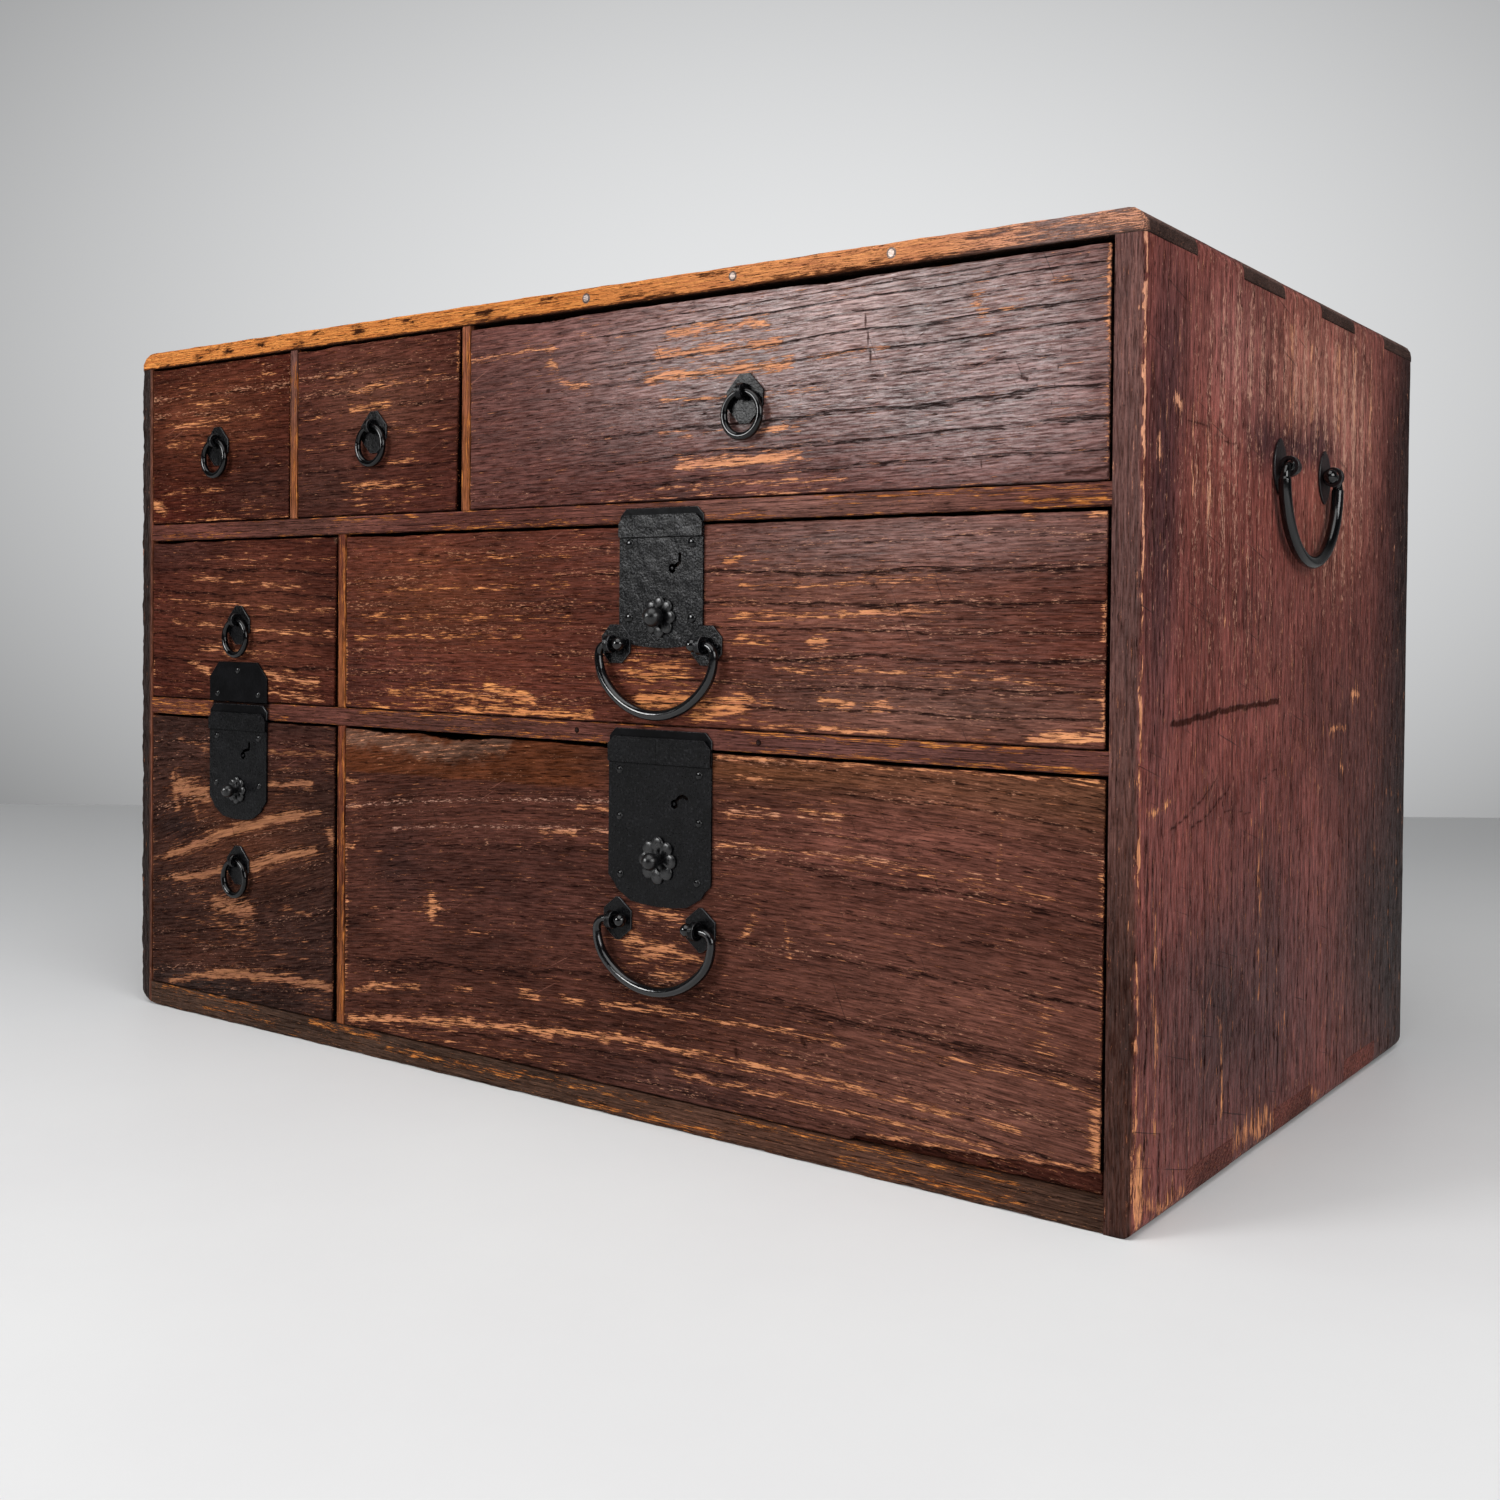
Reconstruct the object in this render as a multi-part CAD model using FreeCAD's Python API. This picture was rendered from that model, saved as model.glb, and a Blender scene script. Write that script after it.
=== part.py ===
import FreeCAD, Part
import math
import os
from collections import namedtuple

# A small Japanese chest of seven drawers, in millimetres.
# Origin: middle of the floor under the carcass. +X is the viewer's right,
# +Y goes to the back, +Z is up. The drawers pull out towards -Y.

V = FreeCAD.Vector

# ---- Carcass ---------------------------------------------------------------
WIDTH = 606.0                 # two shaku over the side boards
DEPTH = 330.0
HEIGHT = 363.6                # one shaku and two sun
TOP_THICK = 9.2
BOTTOM_THICK = 12.6
LEFT_THICK = 10.0
RIGHT_THICK = 11.5
BACK_THICK = 6.0
BACK_BOARDS = 3               # boards across the back
SHELF_THICK = 8.8             # its front edge is the rail between two rows
DIVIDER_THICK = 5.0
FINGERS = 7                   # fingers and gaps along each corner joint
TOP_ROUND = 7.0               # worn round of the upper corners
FOOT_ROUND = 5.0              # worn round of the lower corners
HEEL_ROUND = 8.0              # worn round under the back edge
SHELF_TONGUE = 4.0            # how far a shelf is housed in the side boards
DIVIDER_TONGUE = 2.0          # how far a divider is housed above and below
HOUSING_STOP = 9.0            # housings stop this far behind the front

# ---- Bays ------------------------------------------------------------------
UPPER_ROW = 86.6              # clear height of the upper row
MIDDLE_ROW = 87.0             # clear height of the middle row
UPPER_LEFT_BAY = 122.5        # clear widths
UPPER_MIDDLE_BAY = 123.2
LEFT_BAY = 161.2              # in the middle and the lower row

# ---- Drawers ---------------------------------------------------------------
FRONT_THICK = 14.0
SIDE_THICK = 7.0              # sides and back of a drawer box
FLOOR_THICK = 5.0
DRAWER_LIFT = 0.3             # running gap under a drawer
DRAWER_TOP_GAP = 0.7
DRAWER_SIDE_GAP = 0.5
BOX_TOP_DROP = 3.0            # box sides end this far under the front's top
BACK_GAP = 7.0                # air behind a closed drawer
ARRIS = 0.6                   # eased edges of a drawer front

# ---- Iron sheet, nails and eyes --------------------------------------------
PLATE_THICK = 1.0
STRIKE_THICK = 0.8
NAIL_HEAD = 3.2               # diameters
NAIL_SHANK = 1.4
NAIL_LENGTH = 8.0
NAIL_RISE = 0.8               # height of the domed head
DRILL_GAP = 0.1               # free space round a nail, a shank or a plate
EYE_WALL = 1.7                # iron round an eye's hole
EYE_GAP = 0.4                 # free space round the bar in an eye
BAR_GAP = 0.35                # hanging ironwork stays this far off a plate
CLINCH = 1.2                  # thickness of an eye's turned-over prongs
CLINCH_REACH = 5.0

# ---- Ring pulls ------------------------------------------------------------
RING_OUTER = 21.5
RING_WIRE = 2.8
RING_EYE_WIDTH = 2.6
RING_PLATE_DROP = 2.6         # plate's middle under the eye
RING_UNDER_LOCK = 21.8        # eye under the foot of a lock on the same drawer

# tip is a plate's flat top and foot, side its upright edge
Plate = namedtuple("Plate", "width height tip side")
RING_PLATE = Plate(width=18.8, height=20.6, tip=5.0, side=6.5)
MIDDLE_BAIL_PLATE = Plate(width=16.6, height=16.8, tip=7.0, side=7.0)
BOTTOM_BAIL_PLATE = Plate(width=16.0, height=18.8, tip=2.0, side=8.0)

# ---- Handles with two eyes -------------------------------------------------
# half_width and drop are to the middle of the bar, spread is eye to middle.
Bail = namedtuple("Bail", "half_width drop spread bar ball turn side_radius eye_width")
MIDDLE_BAIL = Bail(half_width=32.7, drop=30.6, spread=25.4, bar=3.8, ball=5.8, turn=4.6,
                   side_radius=20.0, eye_width=2.8)
BOTTOM_BAIL = Bail(half_width=32.7, drop=28.9, spread=23.4, bar=3.8, ball=5.8, turn=4.6,
                   side_radius=18.0, eye_width=2.8)
SIDE_BAIL = Bail(half_width=35.0, drop=39.5, spread=28.6, bar=4.6, ball=6.6, turn=4.8,
                 side_radius=26.0, eye_width=3.0)
MIDDLE_EYE_RISE = 1.4         # eyes above the foot of the drawer's lock
BOTTOM_EYE_FALL = 7.4         # eyes below it
SIDE_EYE_DEPTH = 79.8         # eyes under the top of the chest
OVAL_PLATE_WIDTH = 15.0
OVAL_PLATE_HEIGHT = 24.0

# ---- Locks -----------------------------------------------------------------
# z values count from the drawer front's top edge, up is plus.
Lock = namedtuple("Lock", "half height corner_in corner_up notch band_up band_down "
                          "strike_height knob_z washer key key_slot nails")
NOTCH_IN = (0.28, 0.38)       # a notched corner's two inner points, as shares of its
NOTCH_UP = (0.70, 0.50)       # width and of its height
BAND_CORNER = 3.4
PLATE_BOW = 1.2               # bowed lower edge
KNOB = 7.8
KNOB_OUT = 6.2                # knob's middle in front of the wood
KNOB_STEM = 3.4
SLIDE_TRAVEL = 5.0            # a lock's bolt rises this much
SLOT_GAP = 0.4
WASHER_THICK = 1.2
WASHER_GAP = 0.3
PETALS = 8
PETAL_MERGE = 1.12            # petals are this much larger than ones that only touch
BOLT_WIDTH = 16.0
BOLT_THICK = 3.0
BOLT_SETBACK = 5.0            # bolt behind the face of the wood
BOLT_TAIL = 7.0               # bolt under the knob
BOLT_UNDER = 0.8              # unlocked bolt under the top edge
BOLT_GAP = 0.4
KEYHOLE = 4.0
KEY_SLOT = 1.6
KEY_POST = 1.2
KEY_GUIDE_THICK = 0.8         # strip that carries the key post in front of the bolt
KEY_GUIDE_HALF = 4.5          # its half height
KEY_GUIDE_LEDGE = 3.0         # it rests on the wood this far beside pocket and post
MIDDLE_LOCK = Lock(half=23.4, height=52.8, corner_in=7.5, corner_up=7.5, notch=False,
                   band_up=4.0, band_down=5.3, strike_height=6.3, knob_z=-39.6, washer=14.6,
                   key=(6.5, -19.0), key_slot=((4.3, 2.5), (4.3, 6.0)),
                   nails=((17.5, -8.2), (17.6, -40.0)))
BOTTOM_LOCK = Lock(half=28.8, height=67.8, corner_in=13.0, corner_up=11.5, notch=True,
                   band_up=4.4, band_down=6.6, strike_height=7.2, knob_z=-47.8, washer=18.0,
                   key=(8.6, -23.2), key_slot=((2.2, 2.8), (4.6, 3.7), (7.0, 2.8)),
                   nails=((22.3, -10.2), (22.3, -30.4), (21.6, -55.6)))
LEFT_LOCK = Lock(half=24.5, height=52.8, corner_in=11.5, corner_up=11.0, notch=True,
                 band_up=3.8, band_down=5.3, strike_height=7.6, knob_z=-37.2, washer=14.6,
                 key=(4.6, -18.6), key_slot=((0.6, 2.4), (5.4, 3.6), (5.4, 6.6)),
                 nails=((18.0, -9.0), (18.6, -34.0)))
LINK_HEIGHT = 21.0            # plate on the drawer over the left lock
LINK_CORNER = 8.0
LINK_NAILS = ((0.0, 16.6), (17.5, 4.0))

# ---- Worked out from the values above --------------------------------------
FRONT = -DEPTH / 2
BACK = DEPTH / 2
LEFT = -WIDTH / 2
RIGHT = WIDTH / 2
INNER_LEFT = LEFT + LEFT_THICK
INNER_RIGHT = RIGHT - RIGHT_THICK
INNER_BACK = BACK - BACK_THICK
FINGER = DEPTH / FINGERS
UPPER_ROW_TOP = HEIGHT - TOP_THICK
UPPER_ROW_FLOOR = UPPER_ROW_TOP - UPPER_ROW
MIDDLE_ROW_TOP = UPPER_ROW_FLOOR - SHELF_THICK
MIDDLE_ROW_FLOOR = MIDDLE_ROW_TOP - MIDDLE_ROW
LOWER_ROW_TOP = MIDDLE_ROW_FLOOR - SHELF_THICK
LOWER_ROW_FLOOR = BOTTOM_THICK
RING_RADIUS = (RING_OUTER - RING_WIRE) / 2
RING_OUT = PLATE_THICK + BAR_GAP + RING_WIRE / 2
BOX_BACK = INNER_BACK - BACK_GAP

Bay = namedtuple("Bay", "left right floor top slack")


def beside(left, clear):
    """Left edge of the bay that follows a bay and its divider."""
    return left + clear + DIVIDER_THICK


UPPER_MIDDLE_LEFT = beside(INNER_LEFT, UPPER_LEFT_BAY)
UPPER_RIGHT_LEFT = beside(UPPER_MIDDLE_LEFT, UPPER_MIDDLE_BAY)
LOWER_RIGHT_LEFT = beside(INNER_LEFT, LEFT_BAY)

# slack is the extra gap that a shrunken drawer leaves at its right side
BAYS = {
    "top_left": Bay(INNER_LEFT, INNER_LEFT + UPPER_LEFT_BAY, UPPER_ROW_FLOOR, UPPER_ROW_TOP, 0.2),
    "top_middle": Bay(UPPER_MIDDLE_LEFT, UPPER_MIDDLE_LEFT + UPPER_MIDDLE_BAY,
                      UPPER_ROW_FLOOR, UPPER_ROW_TOP, 1.3),
    "top_right": Bay(UPPER_RIGHT_LEFT, INNER_RIGHT, UPPER_ROW_FLOOR, UPPER_ROW_TOP, 0.3),
    "middle_left": Bay(INNER_LEFT, INNER_LEFT + LEFT_BAY, MIDDLE_ROW_FLOOR, MIDDLE_ROW_TOP, 0.9),
    "middle_right": Bay(LOWER_RIGHT_LEFT, INNER_RIGHT, MIDDLE_ROW_FLOOR, MIDDLE_ROW_TOP, 0.3),
    "bottom_left": Bay(INNER_LEFT, INNER_LEFT + LEFT_BAY, LOWER_ROW_FLOOR, LOWER_ROW_TOP, 1.2),
    "bottom_right": Bay(LOWER_RIGHT_LEFT, INNER_RIGHT, LOWER_ROW_FLOOR, LOWER_ROW_TOP, 0.3),
}
RING_DRAWERS = ("top_left", "top_middle", "top_right", "middle_left", "bottom_left")
LOCKS = {"middle_right": MIDDLE_LOCK, "bottom_right": BOTTOM_LOCK, "bottom_left": LEFT_LOCK}
DRAWER_BAILS = {"middle_right": (MIDDLE_BAIL, MIDDLE_BAIL_PLATE, MIDDLE_LOCK.height - MIDDLE_EYE_RISE),
                "bottom_right": (BOTTOM_BAIL, BOTTOM_BAIL_PLATE, BOTTOM_LOCK.height + BOTTOM_EYE_FALL)}
LINK_DRAWER = "middle_left"   # carries the plate over the lock of the drawer below


# ---- Shapes ----------------------------------------------------------------
def block(x, y, z):
    """A box between (low, high) pairs."""
    return Part.makeBox(x[1] - x[0], y[1] - y[0], z[1] - z[0], V(x[0], y[0], z[0]))


def rod(radius, start, end):
    """A round bar from one point to another."""
    run = end - start
    return Part.makeCylinder(radius, run.Length, start, run)


def fused(shapes):
    """All shapes as one solid, with leftover seams removed."""
    first, *rest = shapes
    if not rest:
        return first
    return first.fuse(rest).removeSplitter()


def without(shape, tools):
    """A shape with every tool cut away."""
    return shape.cut(Part.makeCompound(tools)) if tools else shape


def sheet(edges, near, far):
    """An outline in the XZ plane, made solid between two depths y."""
    face = Part.Face(Part.Wire(edges))
    face.translate(V(0, near, 0))
    return face.extrude(V(0, far - near, 0))


def sides_of(points):
    """Straight edges through (x, z) points, closed."""
    corners = [V(x, 0, z) for x, z in points]
    return [Part.makeLine(a, b) for a, b in zip(corners, corners[1:] + corners[:1])]


def octagon(plate, room=0, drop=0):
    """Edges of a plate with cut corners, larger by some room and lowered by a drop."""
    w, h = plate.width / 2 + room, plate.height / 2 + room
    t, s = (plate.tip + room) / 2, (plate.side + room) / 2
    points = [(t, h), (w, s), (w, -s), (t, -h), (-t, -h), (-w, -s), (-w, s), (-t, h)]
    return sides_of([(x, z - drop) for x, z in points])


def pointed_oval(width, height):
    """Two arcs that meet in a point above and below."""
    top, foot = V(0, 0, height / 2), V(0, 0, -height / 2)
    return [Part.Arc(top, V(width / 2, 0, 0), foot).toShape(),
            Part.Arc(foot, V(-width / 2, 0, 0), top).toShape()]


def on_front(shape, x, z):
    """Moves ironwork made at the origin, facing -Y, to its place on the front."""
    return shape.translated(V(x, FRONT, z))


def on_side(shape, face_x, z):
    """Turns ironwork to face out of a side board and moves it there."""
    turned = shape.rotated(V(0, 0, 0), V(0, 0, 1), math.copysign(90, face_x))
    return turned.translated(V(face_x, 0, z))


# ---- Carcass ---------------------------------------------------------------
def rounded_box(corner_view):
    """A full-size box with the corners of one view rounded. corner_view maps a
    corner, as signs of (x, y, z) with 0 for the edge's own direction, to its radius."""
    box = block((LEFT, RIGHT), (FRONT, BACK), (0, HEIGHT))
    middle = V(0, 0, HEIGHT / 2)
    for signs, radius in corner_view.items():
        def matches(edge):
            place = edge.CenterOfMass - middle
            return all(abs(place.dot(axis) * 2 / size - sign) < 0.01 for axis, size, sign in
                       zip((V(1, 0, 0), V(0, 1, 0), V(0, 0, 1)), (WIDTH, DEPTH, HEIGHT), signs))
        box = box.makeFillet(radius, [edge for edge in box.Edges if matches(edge)])
    return box


def worn_outline():
    """What the long wear of the corners has left of the full box."""
    ends = rounded_box({(-1, 0, 1): TOP_ROUND, (1, 0, 1): TOP_ROUND,
                        (-1, 0, -1): FOOT_ROUND, (1, 0, -1): FOOT_ROUND})
    heel = rounded_box({(0, 1, -1): HEEL_ROUND})
    return ends.common(heel)


def corner_fingers(x, z, which):
    """Finger blocks of a corner joint, 0 for the even and 1 for the odd ones."""
    return [block(x, (FRONT + i * FINGER, FRONT + (i + 1) * FINGER), z)
            for i in range(which, FINGERS, 2)]


def tongues(shelf_z):
    """The two housed ends of a shelf."""
    depth = (FRONT + HOUSING_STOP, INNER_BACK)
    return [block((INNER_LEFT - SHELF_TONGUE, INNER_LEFT), depth, shelf_z),
            block((INNER_RIGHT, INNER_RIGHT + SHELF_TONGUE), depth, shelf_z)]


SHELVES = {"upper_shelf": (MIDDLE_ROW_TOP, UPPER_ROW_FLOOR),
           "lower_shelf": (LOWER_ROW_TOP, MIDDLE_ROW_FLOOR)}
Upright = namedtuple("Upright", "left floor top")
DIVIDERS = {
    "upper_left_divider": Upright(UPPER_MIDDLE_LEFT - DIVIDER_THICK, UPPER_ROW_FLOOR, UPPER_ROW_TOP),
    "upper_right_divider": Upright(UPPER_RIGHT_LEFT - DIVIDER_THICK, UPPER_ROW_FLOOR, UPPER_ROW_TOP),
    "middle_divider": Upright(LOWER_RIGHT_LEFT - DIVIDER_THICK, MIDDLE_ROW_FLOOR, MIDDLE_ROW_TOP),
    "lower_divider": Upright(LOWER_RIGHT_LEFT - DIVIDER_THICK, LOWER_ROW_FLOOR, LOWER_ROW_TOP),
}


def divider_tongues():
    """The housed upper and lower edges of every divider."""
    depth = (FRONT + HOUSING_STOP, INNER_BACK)
    found = []
    for upright in DIVIDERS.values():
        x = (upright.left, upright.left + DIVIDER_THICK)
        found.append(block(x, depth, (upright.floor - DIVIDER_TONGUE, upright.floor)))
        found.append(block(x, depth, (upright.top, upright.top + DIVIDER_TONGUE)))
    return found


def divider(upright):
    """A thin upright board between two drawers, housed above and below."""
    x = (upright.left, upright.left + DIVIDER_THICK)
    face = block(x, (FRONT, INNER_BACK), (upright.floor, upright.top))
    housed = block(x, (FRONT + HOUSING_STOP, INNER_BACK),
                   (upright.floor - DIVIDER_TONGUE, upright.top + DIVIDER_TONGUE))
    return fused([face, housed])


def bolt_mortise(name):
    """The pocket in the board over a lock that its raised bolt enters."""
    x = front_middle(name)
    z = BAYS[name].top
    half = BOLT_WIDTH / 2 + BOLT_GAP
    y = FRONT + BOLT_SETBACK
    return block((x - half, x + half), (y - BOLT_GAP, y + BOLT_THICK + BOLT_GAP),
                 (z, z + SLIDE_TRAVEL + BOLT_GAP))


def carcass():
    """Outer boards, shelves, dividers and back."""
    outline = worn_outline()
    left_x, right_x = (LEFT, INNER_LEFT), (INNER_RIGHT, RIGHT)
    top_z, foot_z = (UPPER_ROW_TOP, HEIGHT), (0, BOTTOM_THICK)
    housings = divider_tongues()
    handle_drill = side_shank_holes()
    nodes = {}

    top = block((LEFT, RIGHT), (FRONT, BACK), top_z)
    top = without(top, corner_fingers(left_x, top_z, 1) + corner_fingers(right_x, top_z, 1) + housings)
    nodes["top_board"] = top.common(outline)

    bottom = block((LEFT, RIGHT), (FRONT, BACK), foot_z)
    bottom = without(bottom, corner_fingers(left_x, foot_z, 0) + corner_fingers(right_x, foot_z, 0)
                     + housings)
    nodes["bottom_board"] = bottom.common(outline)

    shelf_tongues = [tongue for z in SHELVES.values() for tongue in tongues(z)]
    for name, x in (("left_side", left_x), ("right_side", right_x)):
        board = block(x, (FRONT, BACK), (0, HEIGHT))
        board = without(board, corner_fingers(x, top_z, 0) + corner_fingers(x, foot_z, 1)
                        + shelf_tongues + handle_drill)
        nodes[name] = board.common(outline)

    mortises = [bolt_mortise(name) for name in LOCKS]
    for name, z in SHELVES.items():
        shelf = fused([block((INNER_LEFT, INNER_RIGHT), (FRONT, INNER_BACK), z)] + tongues(z))
        nodes[name] = without(shelf, housings + mortises)

    for name, upright in DIVIDERS.items():
        nodes[name] = divider(upright)

    rise = (UPPER_ROW_TOP - BOTTOM_THICK) / BACK_BOARDS
    nodes["back_boards"] = Part.makeCompound([
        block((INNER_LEFT, INNER_RIGHT), (INNER_BACK, BACK),
              (BOTTOM_THICK + i * rise, BOTTOM_THICK + (i + 1) * rise)) for i in range(BACK_BOARDS)])
    return nodes


# ---- Drawer boards ---------------------------------------------------------
def front_span(name):
    """Left and right edge of a drawer front."""
    bay = BAYS[name]
    return bay.left + DRAWER_SIDE_GAP, bay.right - DRAWER_SIDE_GAP - bay.slack


def front_middle(name):
    return sum(front_span(name)) / 2


def front_height(name):
    """Lower and upper edge of a drawer front."""
    bay = BAYS[name]
    return bay.floor + DRAWER_LIFT, bay.top - DRAWER_TOP_GAP


def ring_height(name):
    """A ring pull's eye is at half the height of the bay, or under the drawer's lock."""
    if name in LOCKS:
        return front_height(name)[1] - LOCKS[name].height - RING_UNDER_LOCK
    return (BAYS[name].floor + BAYS[name].top) / 2


def drawer_front(name, cuts):
    """The thick front board, with eased edges and the cuts for its ironwork."""
    board = block(front_span(name), (FRONT, FRONT + FRONT_THICK), front_height(name))
    edges = [edge for edge in board.Edges if abs(edge.CenterOfMass.y - FRONT) < ARRIS / 2]
    return without(board.makeChamfer(ARRIS, edges), cuts)


def drawer_box(name):
    """The two sides and the back of a drawer, three boards on its floor."""
    left, right = front_span(name)
    low, high = front_height(name)
    z = (low + FLOOR_THICK, high - BOX_TOP_DROP)
    y = (FRONT + FRONT_THICK, BOX_BACK)
    return Part.makeCompound([
        block((left, left + SIDE_THICK), y, z),
        block((right - SIDE_THICK, right), y, z),
        block((left + SIDE_THICK, right - SIDE_THICK), (BOX_BACK - SIDE_THICK, BOX_BACK), z)])


def drawer_floor(name):
    """The bottom board, pegged on from below behind the front."""
    low = front_height(name)[0]
    return block(front_span(name), (FRONT + FRONT_THICK, BOX_BACK), (low, low + FLOOR_THICK))


# ---- Nails, eyes and rings -------------------------------------------------
def nail(x, z):
    """A nail through a plate on the wood: domed head and shank."""
    ball = ((NAIL_HEAD / 2) ** 2 + NAIL_RISE ** 2) / (2 * NAIL_RISE)
    middle = V(x, -PLATE_THICK - NAIL_RISE + ball, z)
    head = Part.makeSphere(ball, middle)
    face = block((x - NAIL_HEAD, x + NAIL_HEAD), (-PLATE_THICK - ball, -PLATE_THICK),
                 (z - NAIL_HEAD, z + NAIL_HEAD))
    shank = rod(NAIL_SHANK / 2, V(x, -PLATE_THICK - NAIL_RISE / 2, z), V(x, NAIL_LENGTH, z))
    return fused([head.common(face), shank])


def nail_hole(x, z):
    return rod(NAIL_SHANK / 2 + DRILL_GAP, V(x, -PLATE_THICK - NAIL_RISE, z),
               V(x, NAIL_LENGTH + DRILL_GAP, z))


def eye_hole_radius(bar):
    return bar / 2 + EYE_GAP


def eye(bar, out, width, wood):
    """A split pin: an eye round a bar along X, whose middle is out in front of the
    wood, and a shank that goes through the wood and is clinched behind it."""
    hole = eye_hole_radius(bar)
    around = hole + EYE_WALL
    loop = rod(around, V(-width / 2, -out, 0), V(width / 2, -out, 0))
    behind_plate = block((-width, width), (-PLATE_THICK, wood), (-around, around))
    x = (-width / 2, width / 2)
    shank = block(x, (-out, wood + CLINCH), (-EYE_WALL, EYE_WALL))
    clinch = block(x, (wood, wood + CLINCH), (-CLINCH_REACH, CLINCH_REACH))
    bore = rod(hole, V(-width, -out, 0), V(width, -out, 0))
    return fused([loop.cut(behind_plate), shank, clinch]).cut(bore)


def shank_hole(width, wood):
    """The slot for an eye's shank through plate and wood."""
    half = width / 2 + DRILL_GAP
    high = EYE_WALL + DRILL_GAP
    return block((-half, half), (-PLATE_THICK, wood), (-high, high))


def sunk_shank_hole(width, wood):
    """A shank slot whose prongs are sunk in the far face of the wood."""
    half = width / 2 + DRILL_GAP
    high = CLINCH_REACH + DRILL_GAP
    return fused([shank_hole(width, wood), block((-half, half), (wood - CLINCH, wood), (-high, high))])


def ring_plate():
    """Plate and eye of a ring pull."""
    outline = octagon(RING_PLATE, drop=RING_PLATE_DROP)
    plate = sheet(outline, 0, -PLATE_THICK).cut(shank_hole(RING_EYE_WIDTH, FRONT_THICK))
    return Part.makeCompound([plate, eye(RING_WIRE, RING_OUT, RING_EYE_WIDTH, FRONT_THICK)])


def ring():
    """The ring, hanging in its eye."""
    return Part.makeTorus(RING_RADIUS, RING_WIRE / 2, V(0, -RING_OUT, -RING_RADIUS), V(0, 1, 0))


# ---- Bails: handles that swing in two eyes ---------------------------------
def bail_out(bail):
    """Middle of the bar in front of the wood, which keeps its balls off the plates."""
    return PLATE_THICK + BAR_GAP + bail.ball / 2


def foot_radius(bail):
    """Radius of the arc under a bail that leaves its side arcs without a kink.
    With a the side arcs' middle beside the centre line and b the rise from the
    lowest point to it, the arcs touch when a^2 + (r - b)^2 = (r - side)^2."""
    a = bail.half_width - bail.side_radius
    b = bail.drop - bail.turn
    return (a * a + b * b - bail.side_radius ** 2) / (2 * (b - bail.side_radius))


def bail_edges(bail):
    """The bar's path from one ball to the other, at y = 0, eyes at z = 0."""
    ball_x = bail.spread - bail.eye_width / 2 - BAR_GAP - bail.ball / 2
    turn_x = bail.half_width - bail.turn
    side_mid = V(bail.half_width - bail.side_radius, 0, -bail.turn)
    foot = foot_radius(bail)
    foot_mid = V(0, 0, foot - bail.drop)
    lean = (side_mid - foot_mid).normalize()
    touch = side_mid + lean * bail.side_radius
    half_lean = (lean + V(1, 0, 0)).normalize()
    corner = V(turn_x, 0, -bail.turn) + V(1, 0, 1).normalize() * bail.turn
    start, outer = V(turn_x, 0, 0), V(bail.half_width, 0, -bail.turn)

    def mirrored(point):
        return V(-point.x, point.y, point.z)

    side_middle = side_mid + half_lean * bail.side_radius
    return [Part.makeLine(V(ball_x, 0, 0), start),
            Part.Arc(start, corner, outer).toShape(),
            Part.Arc(outer, side_middle, touch).toShape(),
            Part.Arc(touch, V(0, 0, -bail.drop), mirrored(touch)).toShape(),
            Part.Arc(mirrored(touch), mirrored(side_middle), mirrored(outer)).toShape(),
            Part.Arc(mirrored(outer), mirrored(corner), mirrored(start)).toShape(),
            Part.makeLine(mirrored(start), V(-ball_x, 0, 0))]


def bail_bar(bail):
    """The bent bar with a ball at each end, which keeps it in its eyes."""
    edges = bail_edges(bail)
    first = edges[0].Vertexes[0].Point
    last = V(-first.x, 0, 0)
    circle = Part.Wire(Part.makeCircle(bail.bar / 2, first, V(1, 0, 0)))
    bar = Part.Wire(edges).makePipeShell([circle], True, True)
    balls = [Part.makeSphere(bail.ball / 2, end) for end in (first, last)]
    return fused([bar] + balls).translated(V(0, -bail_out(bail), 0))


def at_both_eyes(shape, bail):
    return [shape.translated(V(side * bail.spread, 0, 0)) for side in (-1, 1)]


def bail_mount(bail, outline, wood):
    """Two plates with their eyes."""
    plate = sheet(outline, 0, -PLATE_THICK).cut(shank_hole(bail.eye_width, wood))
    pin = eye(bail.bar, bail_out(bail), bail.eye_width, wood)
    return Part.makeCompound(at_both_eyes(plate, bail) + at_both_eyes(pin, bail))


def bail_height(name):
    return front_height(name)[1] - DRAWER_BAILS[name][2]


def side_shank_holes():
    """Slots for the eyes of the two carrying handles."""
    slots = []
    for face_x, wood in ((RIGHT, RIGHT_THICK), (LEFT, LEFT_THICK)):
        for slot in at_both_eyes(sunk_shank_hole(SIDE_BAIL.eye_width, wood), SIDE_BAIL):
            slots.append(on_side(slot, face_x, HEIGHT - SIDE_EYE_DEPTH))
    return slots


# ---- Locks -----------------------------------------------------------------
def lock_outline(lock):
    """Edges of a lock plate: square top, cut or notched lower corners, bowed foot."""
    low = -lock.height
    right = [(lock.half, 0), (lock.half, low + lock.corner_up)]
    if lock.notch:
        right += [(lock.half - lock.corner_in * inward, low + lock.corner_up * up)
                  for inward, up in zip(NOTCH_IN, NOTCH_UP)]
    right.append((lock.half - lock.corner_in, low + PLATE_BOW))
    left = [(-x, z) for x, z in reversed(right)]
    straight = sides_of(right + left)
    foot = len(right) - 1
    a, b = straight[foot].Vertexes[0].Point, straight[foot].Vertexes[1].Point
    straight[foot] = Part.Arc(a, V(0, 0, low), b).toShape()
    return straight


def cut_corner_strip(half, low, high, corner):
    """A strip whose two upper corners are cut off."""
    return sides_of([(half, low), (half, high - corner), (half - corner, high),
                     (corner - half, high), (-half, high - corner), (-half, low)])


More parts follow.
